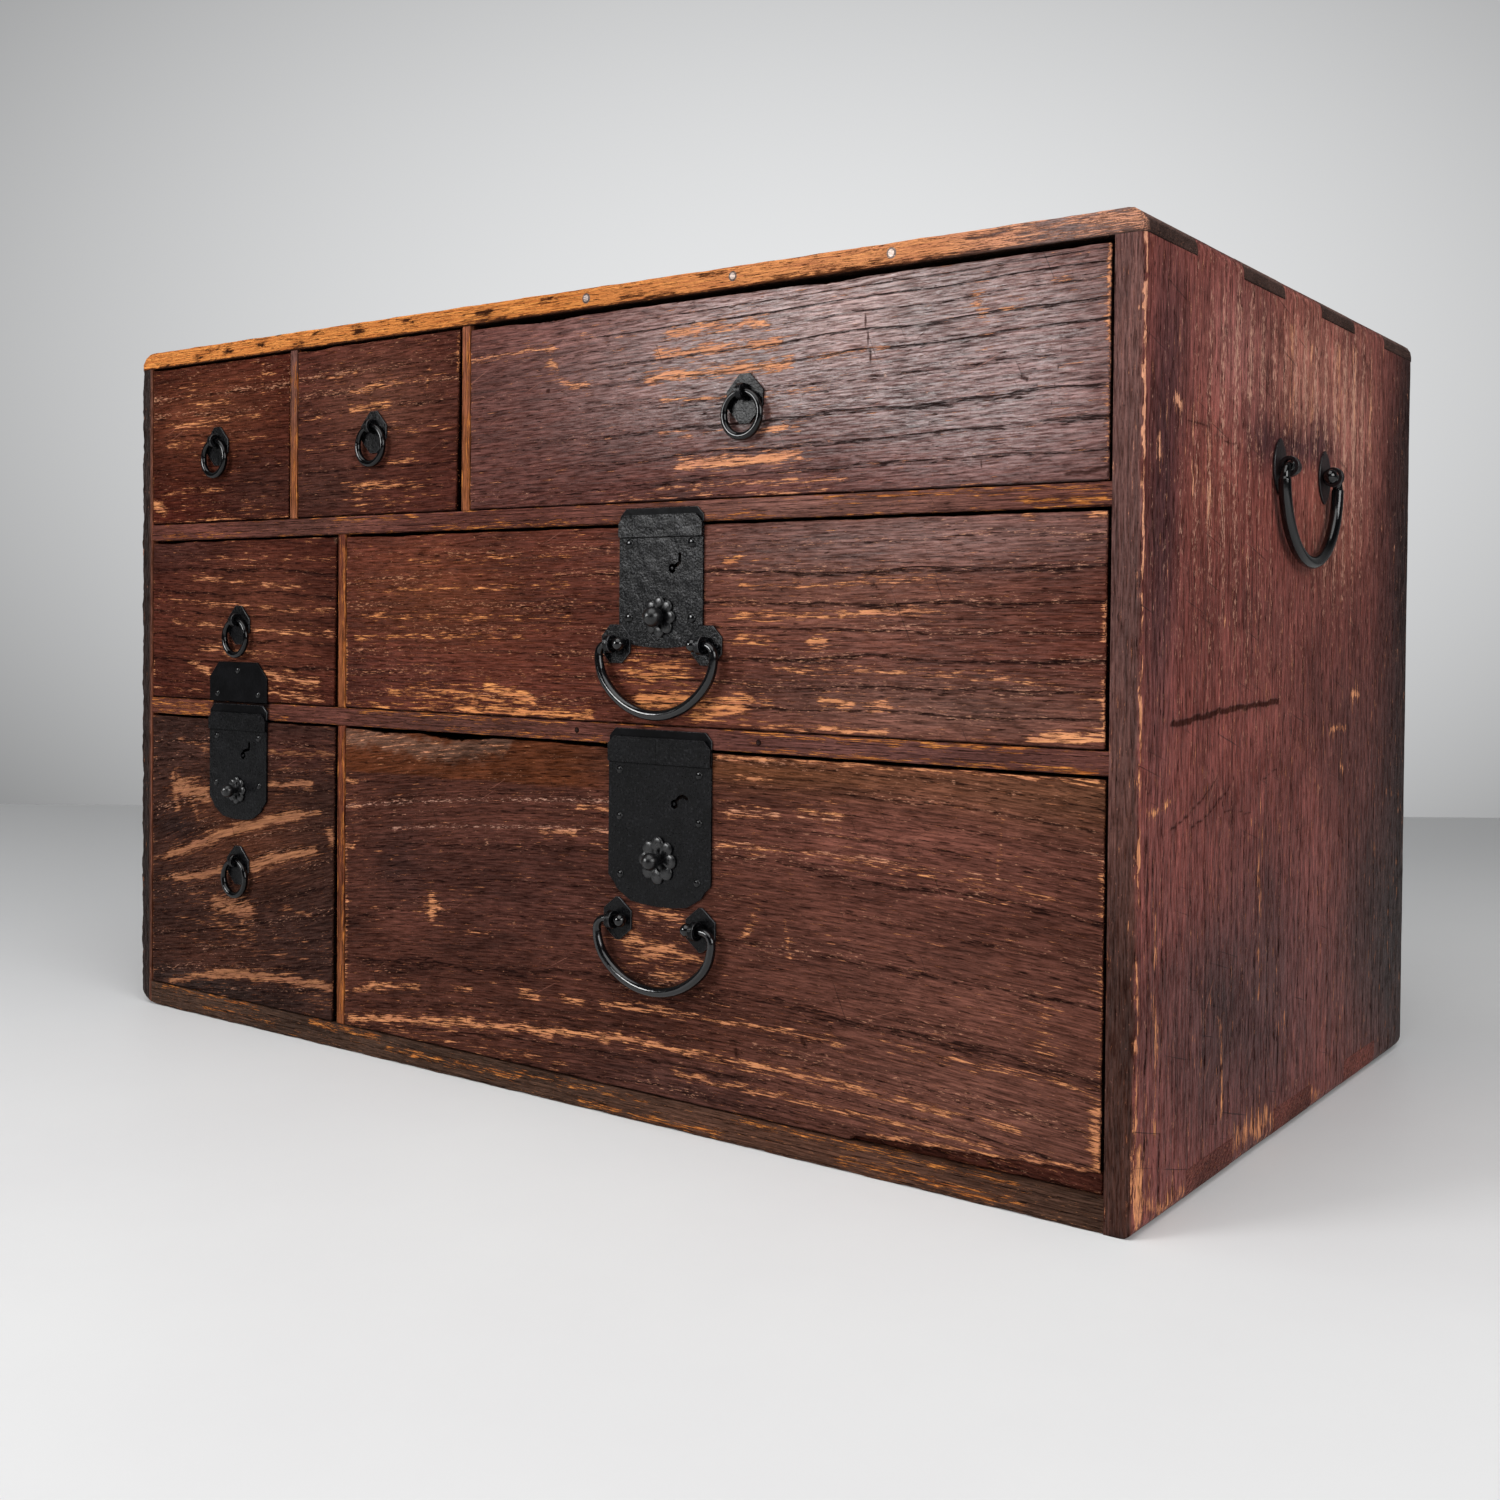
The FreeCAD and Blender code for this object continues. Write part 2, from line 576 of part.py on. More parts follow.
def key_opening(lock):
    """Round keyhole with its bent slot, cut through the plate."""
    x, z = lock.key
    deep = (-PLATE_THICK * 2, PLATE_THICK)
    half = KEY_SLOT / 2
    path = [V(x, 0, z)] + [V(x + dx, 0, z + dz) for dx, dz in lock.key_slot]
    cuts = [rod(KEYHOLE / 2, V(x, deep[0], z), V(x, deep[1], z))]
    for start, end in zip(path, path[1:]):
        run = end - start
        slot = block((0, run.Length), deep, (-half, half))
        turn = math.degrees(math.atan2(-run.z, run.x))
        cuts.append(slot.rotated(V(0, 0, 0), V(0, 1, 0), turn).translated(start))
        cuts.append(rod(half, V(end.x, deep[0], end.z), V(end.x, deep[1], end.z)))
    return fused(cuts)


def both_sides(places):
    """Every (x, z) place and its mirror image, once each."""
    return sorted({(side * x, z) for x, z in places for side in (-1, 1)})


def lock_plate(name):
    """Plate, raised band, nails and key post of a lock."""
    lock = LOCKS[name]
    plate = sheet(lock_outline(lock), 0, -PLATE_THICK)
    cuts = [key_opening(lock), knob_slot(lock)] + [nail_hole(x, z) for x, z in both_sides(lock.nails)]
    if name in DRAWER_BAILS:
        bail, bail_plate, depth = DRAWER_BAILS[name]
        corner = sheet(octagon(bail_plate, room=DRILL_GAP), PLATE_THICK, -PLATE_THICK * 2)
        cuts += [piece.translated(V(0, 0, -depth)) for piece in at_both_eyes(corner, bail)]
    plate = without(plate, cuts)
    band = sheet(cut_corner_strip(lock.half, -lock.band_down, lock.band_up, BAND_CORNER),
                 -PLATE_THICK, -PLATE_THICK * 2)
    x, z = lock.key
    guide_y = key_guide_back() - KEY_GUIDE_THICK
    post = rod(KEY_POST / 2, V(x, -PLATE_THICK, z), V(x, guide_y, z))
    guide = fused([key_guide_room(lock, guide_y), post])
    return Part.makeCompound([plate, band, guide] + [nail(x, z) for x, z in both_sides(lock.nails)])


def key_guide_back():
    return BOLT_SETBACK - BOLT_GAP


def key_guide_room(lock, near):
    """The strip behind the keyhole, from a near depth to its back."""
    pocket = BOLT_WIDTH / 2 + BOLT_GAP
    x, z = lock.key
    right = max(pocket, x) + KEY_GUIDE_LEDGE
    return block((-pocket - KEY_GUIDE_LEDGE, right), (near, key_guide_back()),
                 (z - KEY_GUIDE_HALF, z + KEY_GUIDE_HALF))


def knob_slot(lock):
    """The slot in the plate in which the knob's stem travels."""
    radius = KNOB_STEM / 2 + SLOT_GAP
    deep = (-PLATE_THICK * 2, PLATE_THICK)
    low, high = lock.knob_z, lock.knob_z + SLIDE_TRAVEL
    ends = [rod(radius, V(0, deep[0], z), V(0, deep[1], z)) for z in (low, high)]
    return fused(ends + [block((-radius, radius), deep, (low, high))])


def petal_washer(lock):
    """A disc cut like a flower, with round petals on a ring of centres."""
    share = math.sin(math.pi / PETALS)
    petal = lock.washer / 2 * share / (1 + share) * PETAL_MERGE
    reach = lock.washer / 2 - petal
    y = (-PLATE_THICK - WASHER_GAP, -PLATE_THICK - WASHER_GAP - WASHER_THICK)
    discs = [rod(reach, V(0, y[0], lock.knob_z), V(0, y[1], lock.knob_z))]
    for i in range(PETALS):
        angle = 2 * math.pi * i / PETALS
        x, z = reach * math.sin(angle), lock.knob_z + reach * math.cos(angle)
        discs.append(rod(petal, V(x, y[0], z), V(x, y[1], z)))
    return fused(discs)


def lock_slider(name):
    """Knob, flower washer and bolt, which rise together."""
    lock = LOCKS[name]
    bolt = block((-BOLT_WIDTH / 2, BOLT_WIDTH / 2), (BOLT_SETBACK, BOLT_SETBACK + BOLT_THICK),
                 (lock.knob_z - BOLT_TAIL, -BOLT_UNDER))
    stem = rod(KNOB_STEM / 2, V(0, -KNOB_OUT, lock.knob_z),
               V(0, BOLT_SETBACK + BOLT_THICK / 2, lock.knob_z))
    knob = Part.makeSphere(KNOB / 2, V(0, -KNOB_OUT, lock.knob_z))
    return fused([petal_washer(lock), bolt, stem, knob])


def lock_pocket(lock):
    """The hollow in a drawer front for the bolt and the stem of its knob."""
    half = BOLT_WIDTH / 2 + BOLT_GAP
    bolt = block((-half, half), (0, BOLT_SETBACK + BOLT_THICK + BOLT_GAP),
                 (lock.knob_z - BOLT_TAIL - BOLT_GAP, 0))
    return fused([bolt, key_guide_room(lock, 0)])


def strike(name):
    """The plate on the rail over a lock, with its upper corners cut."""
    lock = LOCKS[name]
    bay = BAYS[name]
    strip = cut_corner_strip(lock.half, 0, lock.strike_height, BAND_CORNER)
    return on_front(sheet(strip, 0, -STRIKE_THICK), front_middle(name), bay.top)


def link_plate():
    """The plate on the left middle drawer that continues the lock below it."""
    half = LEFT_LOCK.half
    plate = sheet(cut_corner_strip(half, 0, LINK_HEIGHT, LINK_CORNER), 0, -PLATE_THICK)
    places = both_sides(LINK_NAILS)
    plate = without(plate, [nail_hole(x, z) for x, z in places])
    return Part.makeCompound([plate] + [nail(x, z) for x, z in places])


# ---- Everything in place ---------------------------------------------------
def front_cuts(name):
    """All that is cut out of a drawer front for its ironwork."""
    x = front_middle(name)
    low, high = front_height(name)
    cuts = []
    if name in RING_DRAWERS:
        cuts.append(on_front(shank_hole(RING_EYE_WIDTH, FRONT_THICK), x, ring_height(name)))
    if name in DRAWER_BAILS:
        bail = DRAWER_BAILS[name][0]
        for slot in at_both_eyes(shank_hole(bail.eye_width, FRONT_THICK), bail):
            cuts.append(on_front(slot, x, bail_height(name)))
    if name in LOCKS:
        lock = LOCKS[name]
        cuts.append(on_front(lock_pocket(lock), x, high))
        cuts += [on_front(nail_hole(nx, nz), x, high) for nx, nz in both_sides(lock.nails)]
    if name == LINK_DRAWER:
        cuts += [on_front(nail_hole(nx, nz), front_middle("bottom_left"), low)
                 for nx, nz in both_sides(LINK_NAILS)]
    return cuts


def drawers():
    """Boards and ironwork of the seven drawers."""
    nodes = {}
    for name in BAYS:
        x = front_middle(name)
        high = front_height(name)[1]
        nodes[name + "_front"] = drawer_front(name, front_cuts(name))
        nodes[name + "_box"] = drawer_box(name)
        nodes[name + "_floor"] = drawer_floor(name)
        if name in RING_DRAWERS:
            nodes[name + "_ring_plate"] = on_front(ring_plate(), x, ring_height(name))
            nodes[name + "_ring"] = on_front(ring(), x, ring_height(name))
        if name in LOCKS:
            nodes[name + "_lock_plate"] = on_front(lock_plate(name), x, high)
            nodes[name + "_lock_slider"] = on_front(lock_slider(name), x, high)
            nodes[name + "_strike"] = strike(name)
        if name in DRAWER_BAILS:
            bail, bail_plate, _ = DRAWER_BAILS[name]
            mount = bail_mount(bail, octagon(bail_plate), FRONT_THICK)
            nodes[name + "_bail_plates"] = on_front(mount, x, bail_height(name))
            nodes[name + "_bail"] = on_front(bail_bar(bail), x, bail_height(name))
    low = front_height(LINK_DRAWER)[0]
    nodes[LINK_DRAWER + "_link_plate"] = on_front(link_plate(), front_middle("bottom_left"), low)
    return nodes


def carrying_handles():
    """The two bails on the side boards."""
    nodes = {}
    outline = pointed_oval(OVAL_PLATE_WIDTH, OVAL_PLATE_HEIGHT)
    z = HEIGHT - SIDE_EYE_DEPTH
    for side, face_x, wood in (("right", RIGHT, RIGHT_THICK), ("left", LEFT, LEFT_THICK)):
        mount = bail_mount(SIDE_BAIL, outline, wood - CLINCH)
        nodes[side + "_handle_plates"] = on_side(mount, face_x, z)
        nodes[side + "_handle"] = on_side(bail_bar(SIDE_BAIL), face_x, z)
    return nodes


def main():
    os.makedirs("parts", exist_ok=True)
    nodes = {**carcass(), **drawers(), **carrying_handles()}
    for name, shape in nodes.items():
        if not shape.isValid():
            print("not valid:", name)
        shape.exportStep("parts/" + name + ".step")
    print(len(nodes), "nodes,", sum(len(shape.Solids) for shape in nodes.values()), "solids")


main()
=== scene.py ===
# %% [markdown]
# # A small chest of drawers
# The real thing is an old Japanese chest of stained paulownia wood, called kiri,
# with ironwork blackened over a fire. The solids give every board, plate and ring its
# place. This script gives them their looks: boards with worn edges, wood whose stain
# has rubbed off along the grain, and black iron. Everything is placed from the solids,
# so a change of a size moves the looks along with it.

# %% Load the frame
import math

import bmesh
import bpy
import numpy as np
from mathutils import Matrix, Vector


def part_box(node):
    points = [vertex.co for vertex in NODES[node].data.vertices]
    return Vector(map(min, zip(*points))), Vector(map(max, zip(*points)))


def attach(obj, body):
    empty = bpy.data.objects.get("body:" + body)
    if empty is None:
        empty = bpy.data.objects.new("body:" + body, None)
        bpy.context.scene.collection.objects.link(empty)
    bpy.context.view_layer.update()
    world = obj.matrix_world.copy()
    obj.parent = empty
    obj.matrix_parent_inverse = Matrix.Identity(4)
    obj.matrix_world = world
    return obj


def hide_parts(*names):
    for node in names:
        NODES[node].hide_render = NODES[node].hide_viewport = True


MM = 0.001
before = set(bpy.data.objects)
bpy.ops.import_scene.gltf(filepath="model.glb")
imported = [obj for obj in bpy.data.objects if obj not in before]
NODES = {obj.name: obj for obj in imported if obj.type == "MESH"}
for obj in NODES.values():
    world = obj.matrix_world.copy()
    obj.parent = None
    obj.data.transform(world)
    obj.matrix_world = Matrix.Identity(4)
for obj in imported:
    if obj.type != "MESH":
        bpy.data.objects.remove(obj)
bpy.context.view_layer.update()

# %% [markdown]
# ## Where things are
# A chest is easier to describe as its maker would: x from the left end, y down from the
# top and s back from the front, all in millimetres. Frame coordinates are metres from
# the middle of the floor, so one helper turns the corners of a solid into millimetres,
# and another turns points into the maker's x, y and s.


# %% Millimetres and the maker's coordinates
def box_mm(node):
    """Lowest and highest corner of a solid, in millimetres."""
    low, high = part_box(node)
    return np.round(np.array(low) / MM, 3), np.round(np.array(high) / MM, 3)


LEFT, FRONT, FOOT = box_mm("left_side")[0]
RIGHT, BACK, _ = box_mm("right_side")[1]
TOP = box_mm("top_board")[1][2]
INNER_LEFT = box_mm("left_side")[1][0]
INNER_RIGHT = box_mm("right_side")[0][0]


def maker_xys(points):
    """x from the left end, y down from the top, s back from the front."""
    return points[:, 0] - LEFT, TOP - points[:, 2], points[:, 1] - FRONT


print("chest:", RIGHT - LEFT, "x", BACK - FRONT, "x", TOP - FOOT, "mm")

# %% [markdown]
# ## The camera
# The chest is seen from low down, just beside its right front corner, so the top face
# stays hidden and both visible faces run away from the eye. The angles, the focal
# length and the shift of the frame keep every upright edge upright.

# %% Camera
CAMERA_PLACE = (0.53892, -0.68835, 0.21640)
CAMERA_YAW, CAMERA_PITCH, CAMERA_ROLL = np.radians([34.5742, -0.9955, 0.5362])
forward = np.array([-math.sin(CAMERA_YAW) * math.cos(CAMERA_PITCH),
                    math.cos(CAMERA_YAW) * math.cos(CAMERA_PITCH), math.sin(CAMERA_PITCH)])
level = np.array([math.cos(CAMERA_YAW), math.sin(CAMERA_YAW), 0.0])
upward = np.cross(level, forward)
right_hand = level * math.cos(CAMERA_ROLL) + upward * math.sin(CAMERA_ROLL)
overhead = upward * math.cos(CAMERA_ROLL) - level * math.sin(CAMERA_ROLL)
camera_data = bpy.data.cameras.new("camera")
camera_data.sensor_width = 36.0
camera_data.lens = 38.789
camera_data.shift_x = -0.064289
camera_data.shift_y = -0.065222
camera_data.clip_start = 0.01
camera = bpy.data.objects.new("camera", camera_data)
turn = Matrix(np.stack([right_hand, overhead, -forward], axis=1).tolist()).to_4x4()
camera.matrix_world = Matrix.Translation(CAMERA_PLACE) @ turn
bpy.context.scene.collection.objects.link(camera)
bpy.context.scene.camera = camera
bpy.context.scene.view_settings.view_transform = "Standard"
print("camera looks along", forward.round(3))

# %% [markdown]
# ## Colours and nodes
# Colours are written as the eye reads them, in sRGB hex, but shaders reckon in linear
# light, so one function turns one into the other. Material nodes are added by one small
# function that sets a node's own settings, fills its sockets or links them, and hands
# back an output. That keeps each material readable as a recipe.


# %% Colour and node helpers
def linear(colour):
    """sRGB hex to linear RGBA: c / 12.92 when dark, else ((c + 0.055) / 1.055) ^ 2.4."""
    c = np.array([int(colour[i:i + 2], 16) for i in (0, 2, 4)]) / 255
    light = np.where(c <= 0.04045, c / 12.92, ((c + 0.055) / 1.055) ** 2.4)
    return (*light.tolist(), 1.0)


def add(tree, kind, sockets=None, out=0, **settings):
    """Adds a node. sockets maps an input to a value or to the output that feeds it."""
    node = tree.nodes.new("ShaderNode" + kind)
    for key, value in settings.items():
        setattr(node, key, value)
    for key, value in (sockets or {}).items():
        if isinstance(value, bpy.types.NodeSocket):
            tree.links.new(value, node.inputs[key])
        else:
            node.inputs[key].default_value = value
    return node.outputs[out]


def new_material(name):
    """An empty material, and its Principled shader linked to the surface."""
    material = bpy.data.materials.new(name)
    material.use_nodes = True
    tree = material.node_tree
    tree.nodes.clear()
    shader = tree.nodes.new("ShaderNodeBsdfPrincipled")
    output = tree.nodes.new("ShaderNodeOutputMaterial")
    tree.links.new(shader.outputs[0], output.inputs[0])
    return material, tree, shader


print("white is", linear("ffffff"), "and mid grey", round(linear("808080")[0], 3))

# %% [markdown]
# ## Studio
# A chest this dark needs a plain pale floor and soft light. The main light is a wide
# soft box to the left of the chest: its reflection makes the pale sheen on the right
# end of the top drawer, where old lacquer is smoothest and a paler sheen is also painted
# into the colour, and its shadows fall to the right of each ring. A large dim light
# overhead and the pale surroundings fill the rest.

# %% Floor and surroundings
FLOOR_EDGE = 1.86          # metres from the camera along the view, where the floor ends
FLOOR_WIDE = 6.0
AROUND_LIGHT = 0.14        # how bright the pale room is as a light


def floor_slab():
    """A flat square whose far edge lies square to the view."""
    view = np.array([forward[0], forward[1]]) / np.hypot(forward[0], forward[1])
    side = np.array([view[1], -view[0]])
    eye = np.array(CAMERA_PLACE[:2])
    far = eye + view * FLOOR_EDGE
    near = far - view * FLOOR_WIDE
    corners = [far - side * FLOOR_WIDE, near - side * FLOOR_WIDE,
               near + side * FLOOR_WIDE, far + side * FLOOR_WIDE]
    return [(x, y, 0.0) for x, y in corners]


floor_mesh = bpy.data.meshes.new("floor")
floor_mesh.from_pydata(floor_slab(), [], [(0, 1, 2, 3)])
floor = bpy.data.objects.new("floor", floor_mesh)
bpy.context.scene.collection.objects.link(floor)

painted_floor, tree, shader = new_material("painted_concrete_floor")
place = add(tree, "TexCoord", out="Object")
# painted shade: the floor turns darker further off, less so to the right, as if the light fell off with
# distance
slant = forward - 0.35 * level
ahead = add(tree, "VectorMath", {0: place, 1: (slant[0], slant[1], 0.0)}, out="Value",
            operation="DOT_PRODUCT")
far_off = add(tree, "MapRange", {"Value": ahead, "From Min": -0.30, "From Max": 0.62},
              interpolation_type="SMOOTHSTEP")
cloudy = add(tree, "TexNoise", {"Vector": place, "Scale": 2.2, "Detail": 6.0, "Roughness": 0.6})
tint = add(tree, "MapRange", {"Value": cloudy, "From Min": 0.3, "From Max": 0.7})
colour = add(tree, "Mix", {0: tint, 6: linear("d9d9da"), 7: linear("e0e1e1")}, out=2,
             data_type="RGBA")
colour = add(tree, "Mix", {0: far_off, 6: colour, 7: linear("c8c9ca")}, out=2, data_type="RGBA")
tree.links.new(colour, shader.inputs["Base Color"])
shader.inputs["Roughness"].default_value = 0.5
shader.inputs["Specular IOR Level"].default_value = 0.2
floor.data.materials.append(painted_floor)

world = bpy.data.worlds.new("pale_room")
bpy.context.scene.world = world
world.use_nodes = True
tree = world.node_tree
tree.nodes.clear()
# the wall by direction d: 0.75 + z - 3.8 z^2 - 1.5 h^2, h = d . level, z up; it is dim
# overhead, and the room behind the camera is dark
place = add(tree, "TexCoord", out="Generated")
height = add(tree, "SeparateXYZ", {0: place}, out="Z")
aside = add(tree, "VectorMath", {0: place, 1: tuple(level)}, out="Value", operation="DOT_PRODUCT")
ahead = add(tree, "VectorMath", {0: place, 1: tuple(forward)}, out="Value", operation="DOT_PRODUCT")
bright = add(tree, "Math", {0: height, 1: -3.8, 2: 1.0}, operation="MULTIPLY_ADD")
bright = add(tree, "Math", {0: bright, 1: height, 2: 0.75}, operation="MULTIPLY_ADD")
fall = add(tree, "Math", {0: aside, 1: aside}, operation="MULTIPLY")
bright = add(tree, "Math", {0: fall, 1: -1.5, 2: bright}, operation="MULTIPLY_ADD")
bright = add(tree, "Math", {0: bright, 1: 0.14}, operation="MAXIMUM")
behind = add(tree, "MapRange", {"Value": ahead, "From Min": -0.1, "From Max": 0.4, "To Min": 0.12,
                                "To Max": 1.0})
bright = add(tree, "Math", {0: bright, 1: behind}, operation="MULTIPLY")
shown = add(tree, "LightPath", out="Is Camera Ray")
for ray in ("Is Glossy Ray", "Is Transmission Ray"):
    shown = add(tree, "Math", {0: shown, 1: add(tree, "LightPath", out=ray)}, operation="MAXIMUM")
around = add(tree, "Background", {"Color": linear("ffffff"), "Strength": AROUND_LIGHT})
backdrop = add(tree, "Background", {"Color": linear("fdfeff"), "Strength": bright})
both = add(tree, "MixShader", {0: shown, 1: around, 2: backdrop})
output = tree.nodes.new("ShaderNodeOutputWorld")
tree.links.new(both, output.inputs[0])


# %% Lights
def soft_light(name, place, aim, width, height, watts):
    """A rectangular light at a place, facing the aim."""
    data = bpy.data.lights.new(name, "AREA")
    data.shape = "RECTANGLE"
    data.size = width
    data.size_y = height
    data.energy = watts
    light = bpy.data.objects.new(name, data)
    turn = (Vector(place) - Vector(aim)).to_track_quat("Z", "Y").to_matrix().to_4x4()
    light.matrix_world = Matrix.Translation(place) @ turn
    bpy.context.scene.collection.objects.link(light)
    return light


soft_light("window", (-0.88, -1.62, 0.76), (0.10, -0.16, 0.30), 0.68, 0.50, 20.0)
soft_light("overhead", (0.3, -1.0, 2.1), (0.15, -0.5, 0.0), 2.2, 2.2, 37.0)
soft_light("right_fill", (1.9, -0.7, 0.9), (0.3, 0.0, 0.2), 1.2, 1.0, 22.0)
print("studio ready")

# %% [markdown]
# ## Stained kiri
# Kiri is a light, soft, ring-porous wood. Each year's growth begins with a row of wide
# pores, so a planed board shows dark dotted lines with plain wood between them. These
# boards were stained dark red-brown and lacquered thinly. Where hands, cloths and the
# ring pulls rub, the stain wears off in streaks along the grain and the pale orange wood
# shows. An image texture could hold all that, but it would blur up close, so the recipe
# below draws it from noise stretched along the grain. What differs from board to board
# arrives as mesh attributes: how much stain is worn off at a point (worn), how many
# light flecks it has (fleck), which year ring it is in (growth), how strong that ring
# is (figure), how smooth the lacquer still is (gloss), how pale the bare wood is, partly
# as painted sheen (faded), how dark, from dirt and partly painted shade (grimy), how
# scratched (scuffed) and how deeply cut (scored) a place is, the stain's colour with
# painted shade in gaps and hollows (stain) and the coordinates along the grain, across
# it and into the board, in millimetres (grain).

# %% The stained wood
FIBRE = (1 / 38, 1 / 1.5, 1 / 1.5)       # one over the size in mm along, across, into
THREAD = (1 / 10, 1 / 0.8, 1 / 0.8)
PORE = (1 / 7, 1 / 0.7, 1 / 0.7)
CLOUD = (1 / 80, 1 / 26, 1 / 26)
MOTTLE = (1 / 17, 1 / 1.35, 1 / 1.35)
CRUMB = (1 / 9.0, 1 / 0.6, 1 / 0.6)
SCRATCH = (1 / 34, 1 / 0.9, 1 / 0.9)
FLECK = (1 / 3.6, 1 / 0.65, 1 / 0.65)


def stretched_noise(tree, grain, stretch, detail, roughness):
    """Noise whose blobs have the size that stretch gives along the three grain ways."""
    place = add(tree, "VectorMath", {0: grain, 1: stretch}, operation="MULTIPLY")
    return add(tree, "TexNoise", {"Vector": place, "Scale": 1.0, "Detail": detail,
                                  "Roughness": roughness})


stained_kiri, tree, shader = new_material("stained_lacquered_kiri")
grain = add(tree, "Attribute", out="Vector", attribute_name="grain")
worn, fleck, growth, figure, gloss, pale_and_sheen, scuffed, scored, dirt_and_shade = (
    add(tree, "Attribute", out="Fac", attribute_name=key)
    for key in ("worn", "fleck", "growth", "figure", "gloss", "pale_and_sheen", "scuffed", "scored", "dirt_and_shade"))
stain = add(tree, "Attribute", out="Color", attribute_name="stain")

fibre = stretched_noise(tree, grain, FIBRE, 5.0, 0.65)
thread = stretched_noise(tree, grain, THREAD, 3.0, 0.7)
pore = stretched_noise(tree, grain, PORE, 3.0, 0.6)
cloud = stretched_noise(tree, grain, CLOUD, 3.0, 0.55)
mottle = stretched_noise(tree, grain, MOTTLE, 6.0, 0.72)
speck = stretched_noise(tree, grain, FLECK, 5.0, 0.7)
crumb = stretched_noise(tree, grain, CRUMB, 4.0, 0.7)

# year rings: a line that starts sharply at each whole number and fades after it
wobble = add(tree, "Math", {0: cloud, 1: 0.9}, operation="MULTIPLY")
ring_place = add(tree, "Math", {0: growth, 1: wobble}, operation="ADD")
ring_share = add(tree, "Math", {0: ring_place}, operation="FRACT")
ring_fade = add(tree, "MapRange", {"Value": ring_share, "From Min": 0.0, "From Max": 0.24,
                                   "To Min": 1.0, "To Max": 0.0}, interpolation_type="SMOOTHSTEP")
ring = add(tree, "Math", {0: ring_fade, 1: figure}, operation="MULTIPLY")

# pores: dark dashes, wide and many in the ring line, few and fine elsewhere
pore_place = add(tree, "Math", {0: ring, 1: 0.24, 2: pore}, operation="MULTIPLY_ADD")
pits = add(tree, "MapRange", {"Value": pore_place, "From Min": 0.630, "From Max": 0.695})

# worn wood: bare where coverage and mottled noise together pass a threshold
uneven = add(tree, "Math", {0: mottle, 1: crumb}, operation="ADD")
uneven = add(tree, "MapRange", {"Value": uneven, "From Min": 0.72, "From Max": 1.28,
                                "To Min": -0.9, "To Max": 0.9}, clamp=False)
patchy = add(tree, "Math", {0: worn, 1: 1.15, 2: uneven}, operation="MULTIPLY_ADD")
patchy = add(tree, "Math", {0: ring, 1: 0.05, 2: patchy}, operation="MULTIPLY_ADD")
rubbed = add(tree, "MapRange", {"Value": patchy, "From Min": 0.50, "From Max": 0.80},
             interpolation_type="SMOOTHSTEP")
bare = add(tree, "MapRange", {"Value": patchy, "From Min": 0.68, "From Max": 0.82},
           interpolation_type="SMOOTHSTEP")
near = add(tree, "Math", {0: ring_share, 1: 0.5}, operation="SUBTRACT")
near = add(tree, "Math", {0: near}, operation="ABSOLUTE")
near = add(tree, "MapRange", {"Value": near, "From Min": 0.2, "From Max": 0.5, "To Min": 0.45,
                               "To Max": 1.0})
spotty = add(tree, "Math", {0: fleck, 1: near}, operation="MULTIPLY")
spotty = add(tree, "Math", {0: spotty, 1: 0.21, 2: speck}, operation="MULTIPLY_ADD")
flecks = add(tree, "MapRange", {"Value": spotty, "From Min": 0.68, "From Max": 0.76},
             interpolation_type="SMOOTHSTEP")

# scratches: long thin noise in two slanted directions, one light and one dark
scratches = []
for angle, share in ((0.42, 0.10), (-1.15, 0.12)):
    slanted = add(tree, "VectorRotate", {"Vector": grain, "Angle": angle}, rotation_type="Z_AXIS")
    line = stretched_noise(tree, slanted, SCRATCH, 1.5, 0.5)
    line = add(tree, "Math", {0: scuffed, 1: share, 2: line}, operation="MULTIPLY_ADD")
    scratches.append(add(tree, "MapRange", {"Value": line, "From Min": 0.76, "From Max": 0.82}))

# cuts that were listed one by one, their edges made ragged
cuts = add(tree, "Math", {0: crumb, 1: 0.5, 2: scored}, operation="MULTIPLY_ADD")
cuts = add(tree, "MapRange", {"Value": cuts, "From Min": 0.76, "From Max": 1.02})

# colour of the stain, darker in fibres and rings, browner where it is rubbed
shade = add(tree, "MapRange", {"Value": fibre, "From Min": 0.34, "From Max": 0.68,
                               "To Min": 0.58, "To Max": 1.40})
# threads, haze, dirt and fine cracks: the noise, its range, and the shades at its ends
for noise, first, last, darkest, lightest in (
        (thread, 0.32, 0.68, 0.46, 1.48), (cloud, 0.30, 0.70, 0.66, 1.30),
        (mottle, 0.30, 0.44, 0.35, 1.0), (crumb, 0.36, 0.46, 0.55, 1.03)):
    tone = add(tree, "MapRange", {"Value": noise, "From Min": first, "From Max": last,
                                  "To Min": darkest, "To Max": lightest})
    shade = add(tree, "Math", {0: shade, 1: tone}, operation="MULTIPLY")
tinted = add(tree, "VectorMath", {0: stain, "Scale": shade}, operation="SCALE")
for mask, share, tone in ((ring, 0.70, "1d1110"), (rubbed, 0.75, "7f452a")):
    mask = add(tree, "Math", {0: mask, 1: share}, operation="MULTIPLY")
    tinted = add(tree, "Mix", {0: mask, 6: tinted, 7: linear(tone)}, out=2, data_type="RGBA")

